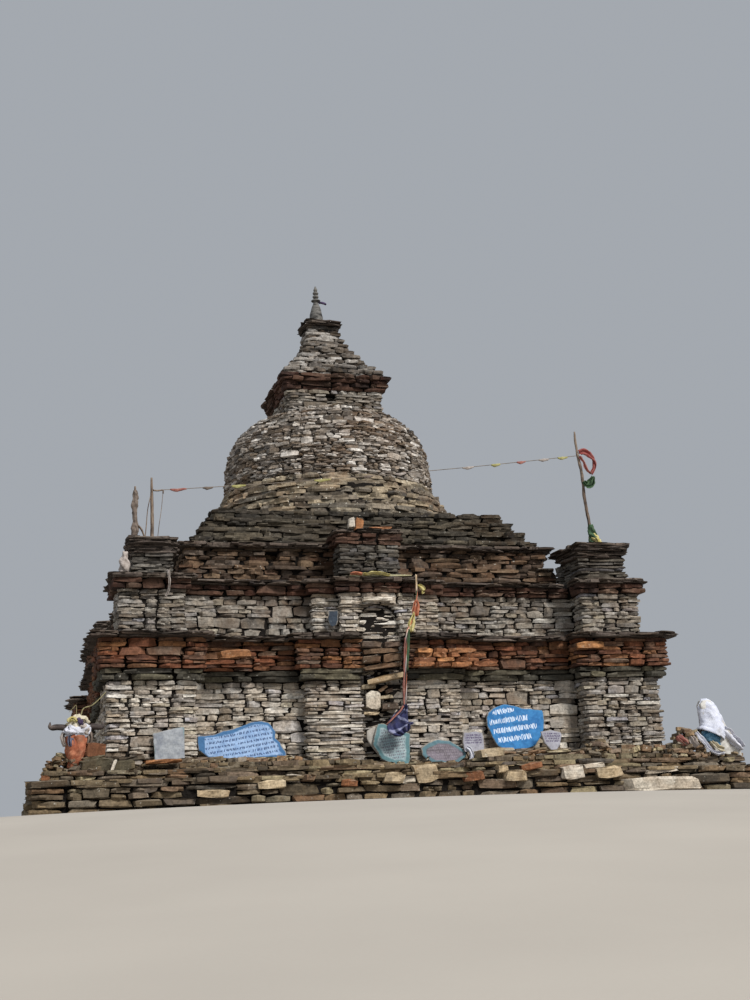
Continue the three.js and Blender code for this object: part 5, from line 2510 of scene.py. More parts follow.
POLE_CLOTHS = (
    Wrap(
        "outer_pole_cloth", DUSTY_CLOTH,
        ((-3.44, -3.352, 4.43), (-3.43, -3.352, 4.3), (-3.45, -3.352, 4.17), (-3.438, -3.352, 4.02),
         (-3.44, -3.352, 3.9), (-3.45, -3.355, 3.78)),
        (0.035, 0.06, 0.085, 0.055, 0.05, 0.095, 0.06), (0.24, 0.66), held="gathered",
        rests_on="pole_left_outer_wood", pleats=4, lumps=0.4, crumple=0.012, seed=11,
    ),
    on_pole(
        "pole_red_flag", RED_CLOTH,
        ((3.14, -3.235, 5.23), (3.21, -3.24, 5.25), (3.3, -3.245, 5.21), (3.365, -3.245, 5.12),
         (3.36, -3.245, 5.0), (3.3, -3.245, 4.9)),
        (0.1, 0.14, 0.13, 0.07, 0.05, 0.05), (0.2, 0.5), side=(0, 0.35, 1), pleats=2, seed=12,
    ),
    on_pole(
        "pole_red_tail", PINK_CLOTH,
        ((3.15, -3.24, 5.17), (3.2, -3.245, 5.08), (3.24, -3.245, 4.98), (3.3, -3.245, 4.9)),
        (0.06, 0.05, 0.06, 0.04), (0.1, 0.36), side=(1, 0, 0.4), pleats=1.5, seed=13,
    ),
    on_pole(
        "pole_green_flag", GREEN_CLOTH,
        ((3.17, -3.235, 4.78), (3.22, -3.24, 4.72), (3.28, -3.245, 4.74), (3.34, -3.245, 4.86)),
        (0.05, 0.13, 0.14, 0.05), (0.22, 0.28), side=(0, 0.3, 1), pleats=2, seed=14,
    ),
    round_pole(
        "pole_foot_green_cloth", GREEN_CLOTH,
        ((3.24, -3.212, 4.12), (3.25, -3.212, 4.02), (3.26, -3.215, 3.93), (3.27, -3.22, 3.85)),
        (0.07, 0.11, 0.13, 0.12), (0.36, 0.3), pleats=3, lumps=0.35, seed=15,
    ),
    round_pole(
        "pole_foot_pale_cloth", YELLOW_CLOTH,
        ((3.25, -3.215, 3.96), (3.29, -3.23, 3.88), (3.33, -3.25, 3.82), (3.4, -3.26, 3.79)),
        (0.1, 0.13, 0.12, 0.05), (0.36, 0.24), slot="white_cloth", side=(0, 1, 0.2), pleats=3, lumps=0.35,
        seed=16,
    ),
    Wrap(
        "stick_scarf", GREY_CLOTH,
        ((-3.592, -3.655, 3.5), (-3.6, -3.655, 3.4), (-3.6, -3.66, 3.3), (-3.6, -3.66, 3.215)),
        (0.05, 0.09, 0.13, 0.1), (0.34, 0.3), held="gathered", rests_on="scarf_stick", pleats=3, lumps=0.35,
        seed=17,
    ),
    Cloth(
        "ledge_scarf", GREY_CLOTH,
        ((-3.05, -3.72, 3.225), (-3.04, -3.8, 3.215), (-3.035, -3.845, 3.16), (-3.03, -3.838, 3.02),
         (-3.05, -3.83, 2.93), (-3.08, -3.825, 2.86)),
        (0.05, 0.04, 0.03, 0.025, 0.03, 0.02), (0.12, 0.46), held="draped",
        rests_on="second_cap_slabs_stones", pleats=1.5, seed=18,
    ),
    on_ledge(
        "ledge_orange_cloth", ORANGE_CLOTH,
        ((-0.55, -3.69, 3.23), (-0.5, -3.69, 3.245), (-0.45, -3.69, 3.245), (-0.4, -3.69, 3.23)),
        (0.07, 0.1, 0.1, 0.06), (0.24, 0.15), side=(0, 1, 0.25), pleats=2, deepest=0.02, seed=19,
    ),
    on_ledge(
        "ledge_yellow_cloth", YELLOW_CLOTH,
        ((-0.37, -3.69, 3.225), (-0.25, -3.69, 3.25), (-0.12, -3.69, 3.245), (0.0, -3.69, 3.225)),
        (0.06, 0.11, 0.1, 0.06), (0.22, 0.38), side=(0, 1, 0.25), pleats=2, deepest=0.02, seed=20,
    ),
    Cloth(
        "finial_scrap", PURPLE_CLOTH,
        ((-0.06, -0.02, 8.79), (-0.02, -0.03, 8.8), (0.03, -0.035, 8.79), (0.07, -0.04, 8.76)),
        (0.02, 0.06, 0.07, 0.03), (0.1, 0.15), rests_on="finial_spire", side=(0, 0.2, 1), pleats=1, seed=21,
    ),
)


@dataclass(frozen=True)
class Finial:
    """The weathered spire on the roof: a bell with rings above it."""

    x: float = -0.105
    foot: float = 8.385
    bell: tuple[Range, ...] = (
        (0.126, 0.0), (0.124, 0.05), (0.112, 0.09), (0.115, 0.12), (0.104, 0.19), (0.09, 0.26), (0.076, 0.32),
        (0.056, 0.37), (0.038, 0.41),
    )
    rings: tuple[Range, ...] = ((0.078, 0.445), (0.054, 0.52), (0.05, 0.585), (0.034, 0.645))
    ring_depth: float = 0.042
    neck: float = 0.026
    tip: Range = (0.012, 0.712)

    RING: ClassVar[tuple[Range, ...]] = ((-0.6, 0.0), (-0.4, 0.75), (0.0, 1.0), (0.35, 0.8), (0.6, 0.0))
    SIDES: ClassVar[int] = 20
    PITS: ClassVar[float] = 0.1
    PIT_GRAIN: ClassVar[float] = 20

    def build(self) -> bpy.types.Object:
        """Builds the spire.

        Returns:
            The spire.
        """
        profile = list(self.bell)
        for radius, height in self.rings:
            for share, width in self.RING:
                profile.append((self.neck + (radius - self.neck) * width, height + self.ring_depth * share))
        profile.append(self.tip)
        path = tuple((self.x, 0.0, self.foot + height) for _, height in profile)
        rows = []
        for (radius, _), centre in zip(profile, path):
            row = []
            for angle in np.arange(self.SIDES) * 2 * math.pi / self.SIDES:
                away = np.array((math.cos(angle), math.sin(angle), 0.0))
                pits = 1 + self.PITS * noise.noise(Vector((centre + away * radius) * self.PIT_GRAIN))
                row.append(centre + away * radius * pits)
            rows.append(row)
        piece = to_object(lofted(np.array(rows), ring=True, capped=True), "finial_spire")
        piece.data.materials.append(OLD_METAL.material())
        return settled(piece, "finial")


@dataclass(frozen=True)
class Offerings:
    """The horned skull on its orange post, and the standing stone in its scarf."""

    skull: Point = (-4.216, -4.34, 1.045)

    MASSES: ClassVar[tuple[tuple[Point, Point], ...]] = (
        ((0, 0.0, 0.17), (0.085, 0.075, 0.07)),
        ((0, -0.03, 0.12), (0.062, 0.062, 0.075)),
        ((0, -0.055, 0.06), (0.042, 0.048, 0.07)),
        ((0, -0.07, 0.02), (0.036, 0.036, 0.035)),
        ((-0.055, -0.03, 0.15), (0.035, 0.035, 0.03)),
        ((0.055, -0.03, 0.15), (0.035, 0.035, 0.03)),
        ((0, 0.02, 0.225), (0.05, 0.045, 0.03)),
    )
    SOCKET: ClassVar[Point] = (0.052, -0.075, 0.135)
    SOCKET_RADIUS: ClassVar[float] = 0.034
    SOCKET_DEPTH: ClassVar[float] = 0.035
    HORN: ClassVar[tuple[Point, ...]] = (
        (0.06, 0, 0.07), (0.13, 0.004, 0.09), (0.22, 0, 0.1), (0.29, -0.008, 0.09),
        (0.316, -0.01, 0.11), (0.312, -0.006, 0.16),
    )
    HORN_RADII: ClassVar[tuple[float, ...]] = (0.043, 0.041, 0.038, 0.033, 0.024, 0.006)

    def build(self) -> None:
        """Builds the post, the skull and the standing stone."""
        self._post()
        self._skull()
        self._stone()

    def _post(self) -> None:
        """Builds the post's rough core."""
        piece = weathered(node_solid("offering_post"), "offering_post_core", 0.014, ((6, 0.02), (18, 0.012)))
        piece.data.materials.append(ORANGE_WASH.material())
        settled(piece, "offering_post")

    def _skull(self) -> None:
        """Builds the skull from rounded masses, with sunken eyes, and its horns."""
        x, y, foot = self.skull
        shape = bmesh.new()
        for centre, radii in self.MASSES:
            middle = Vector(centre) + Vector(self.skull)
            turned = Matrix.Translation(middle) @ Matrix.Diagonal((*radii, 1))
            bmesh.ops.create_icosphere(shape, subdivisions=3, radius=1.0, matrix=turned)
        skull = weathered(shape, "skull_bone", 0.009, ((20, 0.008), (60, 0.003)))
        for vertex in skull.data.vertices:
            for side in (-1, 1):
                socket = Vector((x + side * self.SOCKET[0], y + self.SOCKET[1], foot + self.SOCKET[2]))
                near = max(0.0, 1 - (vertex.co - socket).length / self.SOCKET_RADIUS)
                vertex.co.y += self.SOCKET_DEPTH * near * near * (3 - 2 * near)
        skull.data.materials.append(DRY_BONE.material())
        horns = []
        for side in (-1, 1):
            path = tuple((x + side * out, y + back, foot + up) for out, back, up in self.HORN)
            rod = Rod(path, self.HORN_RADII, side=(0, 1, 0), sides=12)
            horns.append(to_object(rod.shape(), f"horn_{side}"))
        pair = joined("skull_horns", horns)
        pair.data.materials.append(HORN.material())
        settled(joined("horned_skull_bone", [skull, pair]), "horned_skull")

    def _stone(self) -> None:
        """Builds the standing stone."""
        relief = ((4, 0.02), (12, 0.012), (40, 0.004))
        piece = weathered(node_solid("draped_stone"), "standing_stone", 0.016, relief)
        piece.data.materials.append(WHITE_WASH.material())
        settled(piece, "draped_stone")


def offering_cloths() -> list[Cloth]:
    """Lists the cloths on the post, the skull and the standing stone.

    Returns:
        The cloths.
    """
    return [
        Wrap(
            "post_orange_cloth", ORANGE_CLOTH,
            ((-4.208, -4.345, 1.03), (-4.204, -4.345, 0.93), (-4.218, -4.345, 0.78), (-4.244, -4.35, 0.635)),
            (0.27, 0.265, 0.2, 0.11), (0.7, 0.44), slot="ochre_painted_stone", held="draped",
            rests_on="offering_post_core", pleats=6, squash=0.95, lumps=0.14, twist=0.3, seed=31,
        ),
        on_skull(
            "skull_white_scarf", WHITE_CLOTH,
            ((-4.33, -4.36, 1.09), (-4.28, -4.4, 1.06), (-4.2, -4.415, 1.06), (-4.12, -4.39, 1.09),
             (-4.08, -4.34, 1.14)),
            (0.1, 0.12, 0.13, 0.12, 0.09), (0.4, 0.36), side=(0, 1, 0.2), pleats=4, lumps=0.5, crumple=0.02,
            seed=32,
        ),
        on_skull(
            "skull_crown_scarf", CREAM_CLOTH,
            ((-4.32, -4.33, 1.14), (-4.26, -4.36, 1.19), (-4.2, -4.37, 1.22), (-4.13, -4.35, 1.22),
             (-4.09, -4.33, 1.17)),
            (0.06, 0.09, 0.1, 0.1, 0.07), (0.36, 0.32), side=(0, 1, 0), pleats=4, lumps=0.5, crumple=0.02,
            seed=33,
        ),
        on_skull(
            "skull_cheek_scarf", WHITE_CLOTH,
            ((-4.3, -4.39, 1.14), (-4.27, -4.42, 1.1), (-4.22, -4.43, 1.08), (-4.18, -4.43, 1.04)),
            (0.05, 0.08, 0.08, 0.05), (0.24, 0.18), side=(0, 1, 0.3), pleats=3, lumps=0.5, crumple=0.018,
            seed=43,
        ),
        on_skull(
            "skull_grey_scarf", GREY_CLOTH,
            ((-4.15, -4.42, 1.16), (-4.12, -4.42, 1.12), (-4.11, -4.41, 1.07), (-4.1, -4.4, 1.03)),
            (0.05, 0.07, 0.08, 0.05), (0.22, 0.17), pleats=3, lumps=0.5, crumple=0.016, seed=44,
        ),
        on_skull(
            "skull_yellow_scarf", YELLOW_CLOTH,
            ((-4.31, -4.4, 1.2), (-4.29, -4.41, 1.23), (-4.25, -4.41, 1.23), (-4.22, -4.42, 1.19)),
            (0.03, 0.055, 0.05, 0.03), (0.19, 0.12), side=(0, 1, 0), pleats=3, lumps=0.4, seed=34,
        ),
        on_skull(
            "skull_purple_scarf", PURPLE_CLOTH,
            ((-4.2, -4.42, 1.24), (-4.18, -4.43, 1.21), (-4.165, -4.43, 1.18), (-4.15, -4.425, 1.155)),
            (0.03, 0.05, 0.045, 0.03), (0.15, 0.11), pleats=3, lumps=0.4, seed=35,
        ),
        Cloth(
            "post_slate_scarf", SLATE_CLOTH,
            ((-4.29, -4.44, 1.03), (-4.288, -4.465, 0.99), (-4.28, -4.465, 0.94), (-4.27, -4.455, 0.9)),
            (0.04, 0.07, 0.07, 0.05), (0.14, 0.16), rests_on="post_orange_cloth", side=(1, -0.4, 0),
            pleats=1.5, seed=45,
        ),
        by_skull(
            "skull_side_scarf", GREY_CLOTH,
            ((-4.34, -4.36, 1.1), (-4.37, -4.38, 1.04), (-4.37, -4.4, 0.98), (-4.35, -4.41, 0.91)),
            (0.05, 0.07, 0.06, 0.04), (0.16, 0.22), side=(1, 0.4, 0), pleats=2, seed=36,
        ),
        by_skull(
            "skull_right_scarf", DUSTY_CLOTH,
            ((-4.08, -4.38, 1.1), (-4.06, -4.4, 1.05), (-4.055, -4.42, 0.99), (-4.06, -4.42, 0.93)),
            (0.05, 0.07, 0.07, 0.05), (0.16, 0.19), side=(1, -0.3, 0), pleats=2, seed=37,
        ),
        on_stone(
            "stone_white_scarf", PRINTED_CLOTH,
            ((4.158, -4.44, 1.388), (4.162, -4.44, 1.355), (4.185, -4.44, 1.23), (4.225, -4.44, 1.08),
             (4.23, -4.44, 0.97), (4.2, -4.44, 0.89)),
            (0.08, 0.24, 0.28, 0.31, 0.345, 0.4, 0.44), (1.0, 0.54), side=(1, 0, -0.2), pleats=5,
            squash=0.78, lumps=0.07, twist=0.25, crumple=0.012, seed=38,
        ),
        on_stone(
            "stone_blue_scarf", SKY_CLOTH,
            ((4.06, -4.46, 0.89), (4.13, -4.5, 0.88), (4.21, -4.51, 0.855), (4.29, -4.5, 0.82),
             (4.35, -4.46, 0.79)),
            (0.09, 0.14, 0.14, 0.12, 0.08), (0.36, 0.34), side=(0, 0, 1), pleats=4, squash=0.4, lumps=0.3,
            seed=39,
        ),
        Cloth(
            "stone_scarf_tail", WHITE_CLOTH,
            ((4.35, -4.52, 0.97), (4.42, -4.54, 0.9), (4.5, -4.55, 0.81), (4.6, -4.555, 0.7)),
            (0.12, 0.14, 0.13, 0.09), (0.26, 0.4), held="draped", rests_on="standing_stone",
            side=(1, 0, 0.6), pleats=1.5, crumple=0.02, seed=40,
        ),
        on_heap(
            "heap_white_scarf", WHITE_CLOTH,
            ((3.95, -4.5, 0.93), (3.99, -4.54, 0.86), (4.05, -4.58, 0.76), (4.1, -4.61, 0.68),
             (4.2, -4.61, 0.645), (4.3, -4.6, 0.64)),
            (0.05, 0.07, 0.06, 0.05, 0.05, 0.04), (0.12, 0.5), side=(0.8, 0.2, 0.6), crumple=0.016, seed=41,
        ),
        on_heap(
            "heap_orange_scarf", PINK_CLOTH,
            ((3.68, -4.5, 0.88), (3.71, -4.54, 0.84), (3.74, -4.56, 0.8), (3.77, -4.57, 0.76)),
            (0.05, 0.09, 0.09, 0.05), (0.18, 0.16), side=(1, 0, 0.3), crumple=0.02, seed=42,
        ),
        on_heap(
            "heap_grey_scarf", GREY_CLOTH,
            ((3.84, -4.5, 0.92), (3.86, -4.54, 0.86), (3.87, -4.57, 0.8), (3.92, -4.59, 0.74)),
            (0.05, 0.09, 0.1, 0.06), (0.18, 0.21), side=(1, 0, 0.4), crumple=0.025, seed=46,
        ),
        on_heap(
            "heap_pale_scarf", CREAM_CLOTH,
            ((4.14, -4.56, 0.8), (4.17, -4.6, 0.75), (4.22, -4.61, 0.71), (4.3, -4.61, 0.68)),
            (0.05, 0.07, 0.08, 0.05), (0.14, 0.21), side=(1, 0, 0.6), crumple=0.02, seed=47,
        ),
    ]


def slabs() -> list[Slab]:
    """Lists the slabs that lean on the front.

    Returns:
        The slabs.
    """
    return [
        Slab(
            "grey_slab_stone", "grey_slab_stone", GREY_PAINT, "grey_slab", foot=(-3.914, 0.7),
            outline=(
                (-3.234, 0.0), (-2.855, 0.0), (-2.845, 0.09), (-2.846, 0.334), (-2.849, 0.476),
                (-2.894, 0.479), (-3.16, 0.423), (-3.255, 0.398), (-3.246, 0.289), (-3.236, 0.12),
            ),
        ),
        Slab(
            "long_blue_slab_stone", "blue_painted_stone", LONG_PAINT, "long_blue_slab", foot=(-3.598, 0.7),
            outline=(
                (-2.103, 0.05), (-1.496, 0.07), (-1.487, 0.149), (-1.524, 0.209), (-1.567, 0.283),
                (-1.624, 0.344), (-1.611, 0.43), (-1.651, 0.487), (-1.701, 0.552), (-1.793, 0.574),
                (-1.927, 0.568), (-2.034, 0.526), (-2.181, 0.479), (-2.326, 0.445), (-2.445, 0.398),
                (-2.651, 0.389), (-2.639, 0.198), (-2.517, 0.1),
            ),
        ),
        Slab(
            "pointed_blue_slab_stone", "blue_painted_stone", POINTED_PAINT, "pointed_blue_slab",
            foot=(-3.789, 0.7),
            outline=(
                (-0.1, -0.06), (0.116, -0.07), (0.138, 0.026), (0.148, 0.159), (0.166, 0.354),
                (0.078, 0.389), (-0.057, 0.425), (-0.175, 0.491), (-0.271, 0.496), (-0.297, 0.449),
                (-0.332, 0.329), (-0.363, 0.21), (-0.307, 0.115), (-0.254, 0.018),
            ),
        ),
        Slab(
            "oval_blue_slab_stone", "blue_painted_stone", OVAL_PAINT, "oval_blue_slab", foot=(-3.761, 0.7),
            outline=(
                (0.487, -0.065), (0.7, -0.075), (0.8, -0.05), (0.915, 0.018), (0.932, 0.065),
                (0.921, 0.12), (0.8, 0.197), (0.719, 0.248), (0.551, 0.272), (0.405, 0.231),
                (0.346, 0.198), (0.298, 0.159), (0.313, 0.065), (0.357, 0.01),
            ),
        ),
        Slab(
            "round_blue_slab_stone", "blue_painted_stone", ROUND_PAINT, "round_blue_slab", foot=(-3.626, 0.7),
            outline=(
                (1.521, 0.11), (1.78, 0.105), (1.981, 0.17), (2.058, 0.274), (2.123, 0.385),
                (2.153, 0.534), (2.146, 0.669), (2.001, 0.685), (1.849, 0.702), (1.672, 0.752),
                (1.585, 0.762), (1.515, 0.744), (1.419, 0.706), (1.336, 0.647), (1.314, 0.567),
                (1.308, 0.46), (1.344, 0.372), (1.372, 0.286), (1.427, 0.18),
            ),
        ),
        Slab(
            "small_slab_left", "grey_slab_stone", LAVENDER_PAINT, foot=(-3.79, 0.79),
            outline=(
                (0.89, 0.0), (1.17, 0.0), (1.185, 0.14), (1.17, 0.26), (1.08, 0.28), (0.9, 0.27),
                (0.875, 0.14),
            ),
        ),
        Slab(
            "small_slab_right", "grey_slab_stone", LAVENDER_PAINT, foot=(-3.79, 0.77),
            outline=(
                (2.13, 0.01), (2.2, 0.0), (2.27, 0.09), (2.315, 0.22), (2.3, 0.27), (2.15, 0.3),
                (2.0, 0.28), (2.04, 0.12),
            ),
        ),
        Slab(
            "slate_shield", "slate", SHIELD_FACE, foot=(-3.52, 2.52), thickness=0.03, lean=0.06, voxel=0.008,
            outline=(
                (-0.8, 0.0), (-0.74, 0.03), (-0.715, 0.1), (-0.71, 0.23), (-0.85, 0.24), (-0.855, 0.1),
                (-0.84, 0.03),
            ),
        ),
        Slab(
            "pale_stone_behind", "pale_rubble", PALE_FACE, foot=(-3.72, 0.72), thickness=0.03, lean=0.05,
            outline=(
                (-0.24, 0.0), (-0.12, 0.0), (-0.2, 0.4), (-0.32, 0.44), (-0.42, 0.38), (-0.43, 0.27),
                (-0.36, 0.16),
            ),
        ),
    ]


def loose_stones() -> list[LooseStones]:
    """Lists the stones set one by one and the heaps.

    Returns:
        The groups, whose first named values say how far forward each wall's face lies.
    """
    filling = -3.68
    lintel = -3.78
    band = -3.86
    ledge = -4.56
    base = -4.72
    return [
        LooseStones(
            "doorway_stones", "pale_rubble", WHITE_STONE,
            (
                wedged_block((-0.31, filling, 1.5), (0.2, 0.16, 0.25), (0, 2, 3)),
                SetStone((-0.185, -3.6, 2.9), (0.42, 0.16, 0.05), (0, -1, 0), walled=True),
                set_block((-0.4, -3.22, 4.07), (0.09, 0.16, 0.14), (0, 0, 0)),
            ),
        ),
        LooseStones(
            "doorway_lintel_stones", "field_stone", TAN_STONE,
            (
                wedged_block((-0.13, filling - 0.04, 1.79), (0.56, 0.2, 0.085), (0, -12, 0)),
                set_block((-0.36, filling, 1.69), (0.2, 0.14, 0.06), (0, -4, 0)),
                set_block((-0.12, filling, 1.55), (0.18, 0.14, 0.045), (0, -3, 0)),
                SetStone((-0.34, filling, 1.33), (0.22, 0.14, 0.04), (0, 2, 0)),
            ),
        ),
        LooseStones(
            "doorway_brown_stones", "brown_stone", BROWN_RUBBLE,
            (
                SetStone((-0.19, lintel, 1.945), (0.56, 0.2, 0.06), (0, -7, 0), walled=True),
                wedged_block((-0.34, lintel, 2.035), (0.28, 0.2, 0.1), (0, -3, 0)),
                wedged_block((-0.06, lintel, 2.06), (0.27, 0.2, 0.11), (0, -5, 0)),
                SetStone((-0.2, lintel, 2.15), (0.52, 0.2, 0.06), (0, -3, 0), walled=True),
                wedged_block((-0.08, filling, 1.42), (0.23, 0.16, 0.1), (0, -2, 0)),
                set_block((-0.17, filling, 1.66), (0.14, 0.12, 0.05), (0, -34, 0)),
                set_block((-0.08, filling, 1.63), (0.11, 0.12, 0.05), (0, -20, 0)),
                wedged_block((-0.33, lintel, 2.235), (0.3, 0.2, 0.09), (0, 2, 0)),
                wedged_block((-0.05, lintel, 2.24), (0.24, 0.2, 0.08), (0, -2, 0)),
            ),
        ),
        LooseStones(
            "orange_band_stones", "red_stone", ORANGE_STONE,
            (
                wedged_block((-2.2, band, 2.1), (0.42, 0.2, 0.1), (0, -2, 0)),
                wedged_block((2.75, band - 0.1, 2.2), (0.4, 0.2, 0.1), (0, -2, 0)),
            ),
            (Courses((0.24, band, 1.925), 0.86, 4, 0.062, 0.22, (0.18, 0.42)),),
            hollows=(((0.67, band, 2.05), (1.05, 0.4, 0.3)),),
        ),
        LooseStones(
            "dormer_crest_stones", "terrace_stone", ORANGE_STONE,
            (
                set_block((-0.27, -3.13, 4.07), (0.12, 0.06, 0.2), (4, 8, 10)),
                SetStone((0.02, -3.14, 4.005), (0.36, 0.2, 0.045), (0, -2, 4)),
            ),
        ),
        LooseStones(
            "left_offering_stones", "field_stone", FIELD_STONE,
            (
                SetStone((-3.55, -4.3, 0.75), (0.34, 0.2, 0.04), (0, -4, 3)),
                SetStone((-3.83, -4.44, 0.68), (0.1, 0.1, 0.17), (4, 24, 0)),
                set_block((-4.15, -4.26, 0.66), (0.12, 0.12, 0.1), (0, 8, 0)),
            ),
            (
                Heap((-4.31, -4.31, 0.6), (0.31, 0.13), 0.28, 150, (0.05, 0.13)),
                Heap((-4.2, -4.24, 0.6), (0.3, 0.07), 0.18, 50, (0.06, 0.14)),
                Heap((-3.8, -4.26, 0.6), (0.42, 0.1), 0.16, 70, (0.06, 0.2)),
                Heap((-4.0, -4.42, 0.6), (0.14, 0.1), 0.06, 24, (0.06, 0.14)),
            ),
            "left_stone_heap",
        ),
        LooseStones(
            "dark_offering_stones", "field_stone", DARK_STONE,
            (
                set_block((-3.99, -4.45, 0.66), (0.37, 0.17, 0.18), (8, -6, 6)),
                set_block((-4.0, -4.44, 0.735), (0.26, 0.15, 0.1), (8, -6, 6)),
                set_block((-3.65, -4.45, 0.66), (0.26, 0.14, 0.12), (6, -4, 0)),
            ),
        ),
        LooseStones(
            "orange_offering_stones", "ochre_painted_stone", ORANGE_STONE,
            (
                set_block((-3.99, -4.39, 0.85), (0.24, 0.11, 0.19), (6, 8, 10)),
                SetStone((-3.17, -4.32, 0.705), (0.48, 0.3, 0.05), (0, -2, 4)),
                wedged_block((-4.58, -4.62, 0.486), (0.1, 0.14, 0.13), (0, 0, 0)),
                wedged_block((0.7, base, 0.41), (0.28, 0.24, 0.12), (0, -4, 0)),
                wedged_block((1.48, base, 0.515), (0.28, 0.22, 0.09), (0, -9, 0)),
                wedged_block((-0.92, base, 0.36), (0.2, 0.2, 0.09), (0, 5, 0)),
            ),
        ),
        LooseStones(
            "plinth_tan_stones", "field_stone", TAN_STONE,
            (
                wedged_block((2.55, base, 0.42), (0.36, 0.26, 0.15), (0, -3, 0)),
                wedged_block((0.07, -4.66, 0.47), (0.3, 0.24, 0.22), (8, -12, 5)),
                wedged_block((1.084, base, 0.49), (0.15, 0.2, 0.11), (0, -6, 0)),
                wedged_block((1.253, base - 0.02, 0.4), (0.3, 0.26, 0.14), (0, 3, 0)),
                wedged_block((-0.35, base, 0.41), (0.26, 0.24, 0.13), (0, 5, 0)),
                wedged_block((-1.89, base, 0.368), (0.34, 0.22, 0.11), (0, -3, 0)),
                wedged_block((-2.6, base, 0.28), (0.4, 0.22, 0.1), (0, 2, 0)),
                set_block((1.19, -4.0, 0.75), (0.36, 0.26, 0.13), (0, -6, 5)),
            ),
        ),
        LooseStones(
            "plinth_white_stones", "field_stone", WHITE_STONE,
            (
                wedged_block((-0.177, ledge - 0.08, 0.39), (0.23, 0.22, 0.09), (0, -4, 0)),
                wedged_block((2.39, ledge, 0.505), (0.3, 0.2, 0.085), (0, -3, 0)),
                wedged_block((-1.6, ledge - 0.06, 0.44), (0.2, 0.2, 0.1), (0, 4, 0)),
                SetStone((-3.775, -4.5, 0.66), (0.04, 0.1, 0.15), (0, 20, 0)),
                wedged_block((3.26, base, 0.25), (1.04, 0.26, 0.17), (0, 1, 0)),
                wedged_block((2.02, base, 0.425), (0.29, 0.24, 0.18), (0, -2, 0)),
                SetStone((3.3, -4.66, 0.43), (0.5, 0.2, 0.07), (0, -3, 0), walled=True),
            ),
        ),
        LooseStones(
            "right_heap", "field_stone", HEAP_STONE,
            (set_block((3.98, -4.42, 0.84), (0.2, 0.14, 0.24), (5, 20, 30)),),
            (
                Heap((3.84, -4.4, 0.6), (0.3, 0.2), 0.4, 240, (0.05, 0.15)),
                Heap((4.42, -4.38, 0.6), (0.24, 0.16), 0.12, 40, (0.06, 0.16)),
            ),
            "right_stone_heap",
        ),
        LooseStones(
            "wall_foot_rubble", "field_stone", HEAP_STONE,
            (),
            (
                Courses((-2.75, -3.72, 0.7), 1.4, 2, 0.042, 0.34),
                Courses((0.98, -3.78, 0.7), 1.75, 2, 0.045, 0.34),
                Courses((1.2, -3.74, 0.79), 0.75, 1, 0.04, 0.2),
                Heap((0.26, -3.98, 0.6), (0.8, 0.2), 0.025, 150, (0.08, 0.2)),
                Heap((0.2, -3.72, 0.62), (0.6, 0.08), 0.1, 60, (0.08, 0.2)),
                Heap((2.75, -4.0, 0.7), (0.3, 0.14), 0.19, 70, (0.06, 0.2)),
                Heap((3.35, -3.97, 0.7), (0.55, 0.12), 0.1, 80),
                Heap((-2.05, -3.98, 0.7), (1.2, 0.1), 0.04, 80),
            ),
            hollows=(((0.3, -4.05, 0.66), (2.6, 1.0, 0.27)),),
        ),
        LooseStones(
            "side_rubble", "field_stone", FIELD_STONE,
            (),
            (
                Heap((4.02, -1.5, 0.7), (0.16, 1.8), 0.12, 160),
                Heap((4.02, 2.4, 0.7), (0.16, 1.2), 0.1, 120),
                Heap((-4.02, -1.0, 0.7), (0.16, 2.2), 0.12, 180),
                Heap((-1.5, 4.02, 0.7), (1.8, 0.16), 0.12, 160),
                Heap((2.2, 4.02, 0.7), (1.3, 0.16), 0.1, 120),
            ),
        ),
    ]


# The right-hand piers take the darker copy of the pale rubble, as painted shade.
CORNER_FINISHES = {
    "front_left": PALE_RUBBLE,
    "front_right": SHADED_RUBBLE,
    "back_right": SHADED_RUBBLE,
    "back_left": PALE_RUBBLE,
}


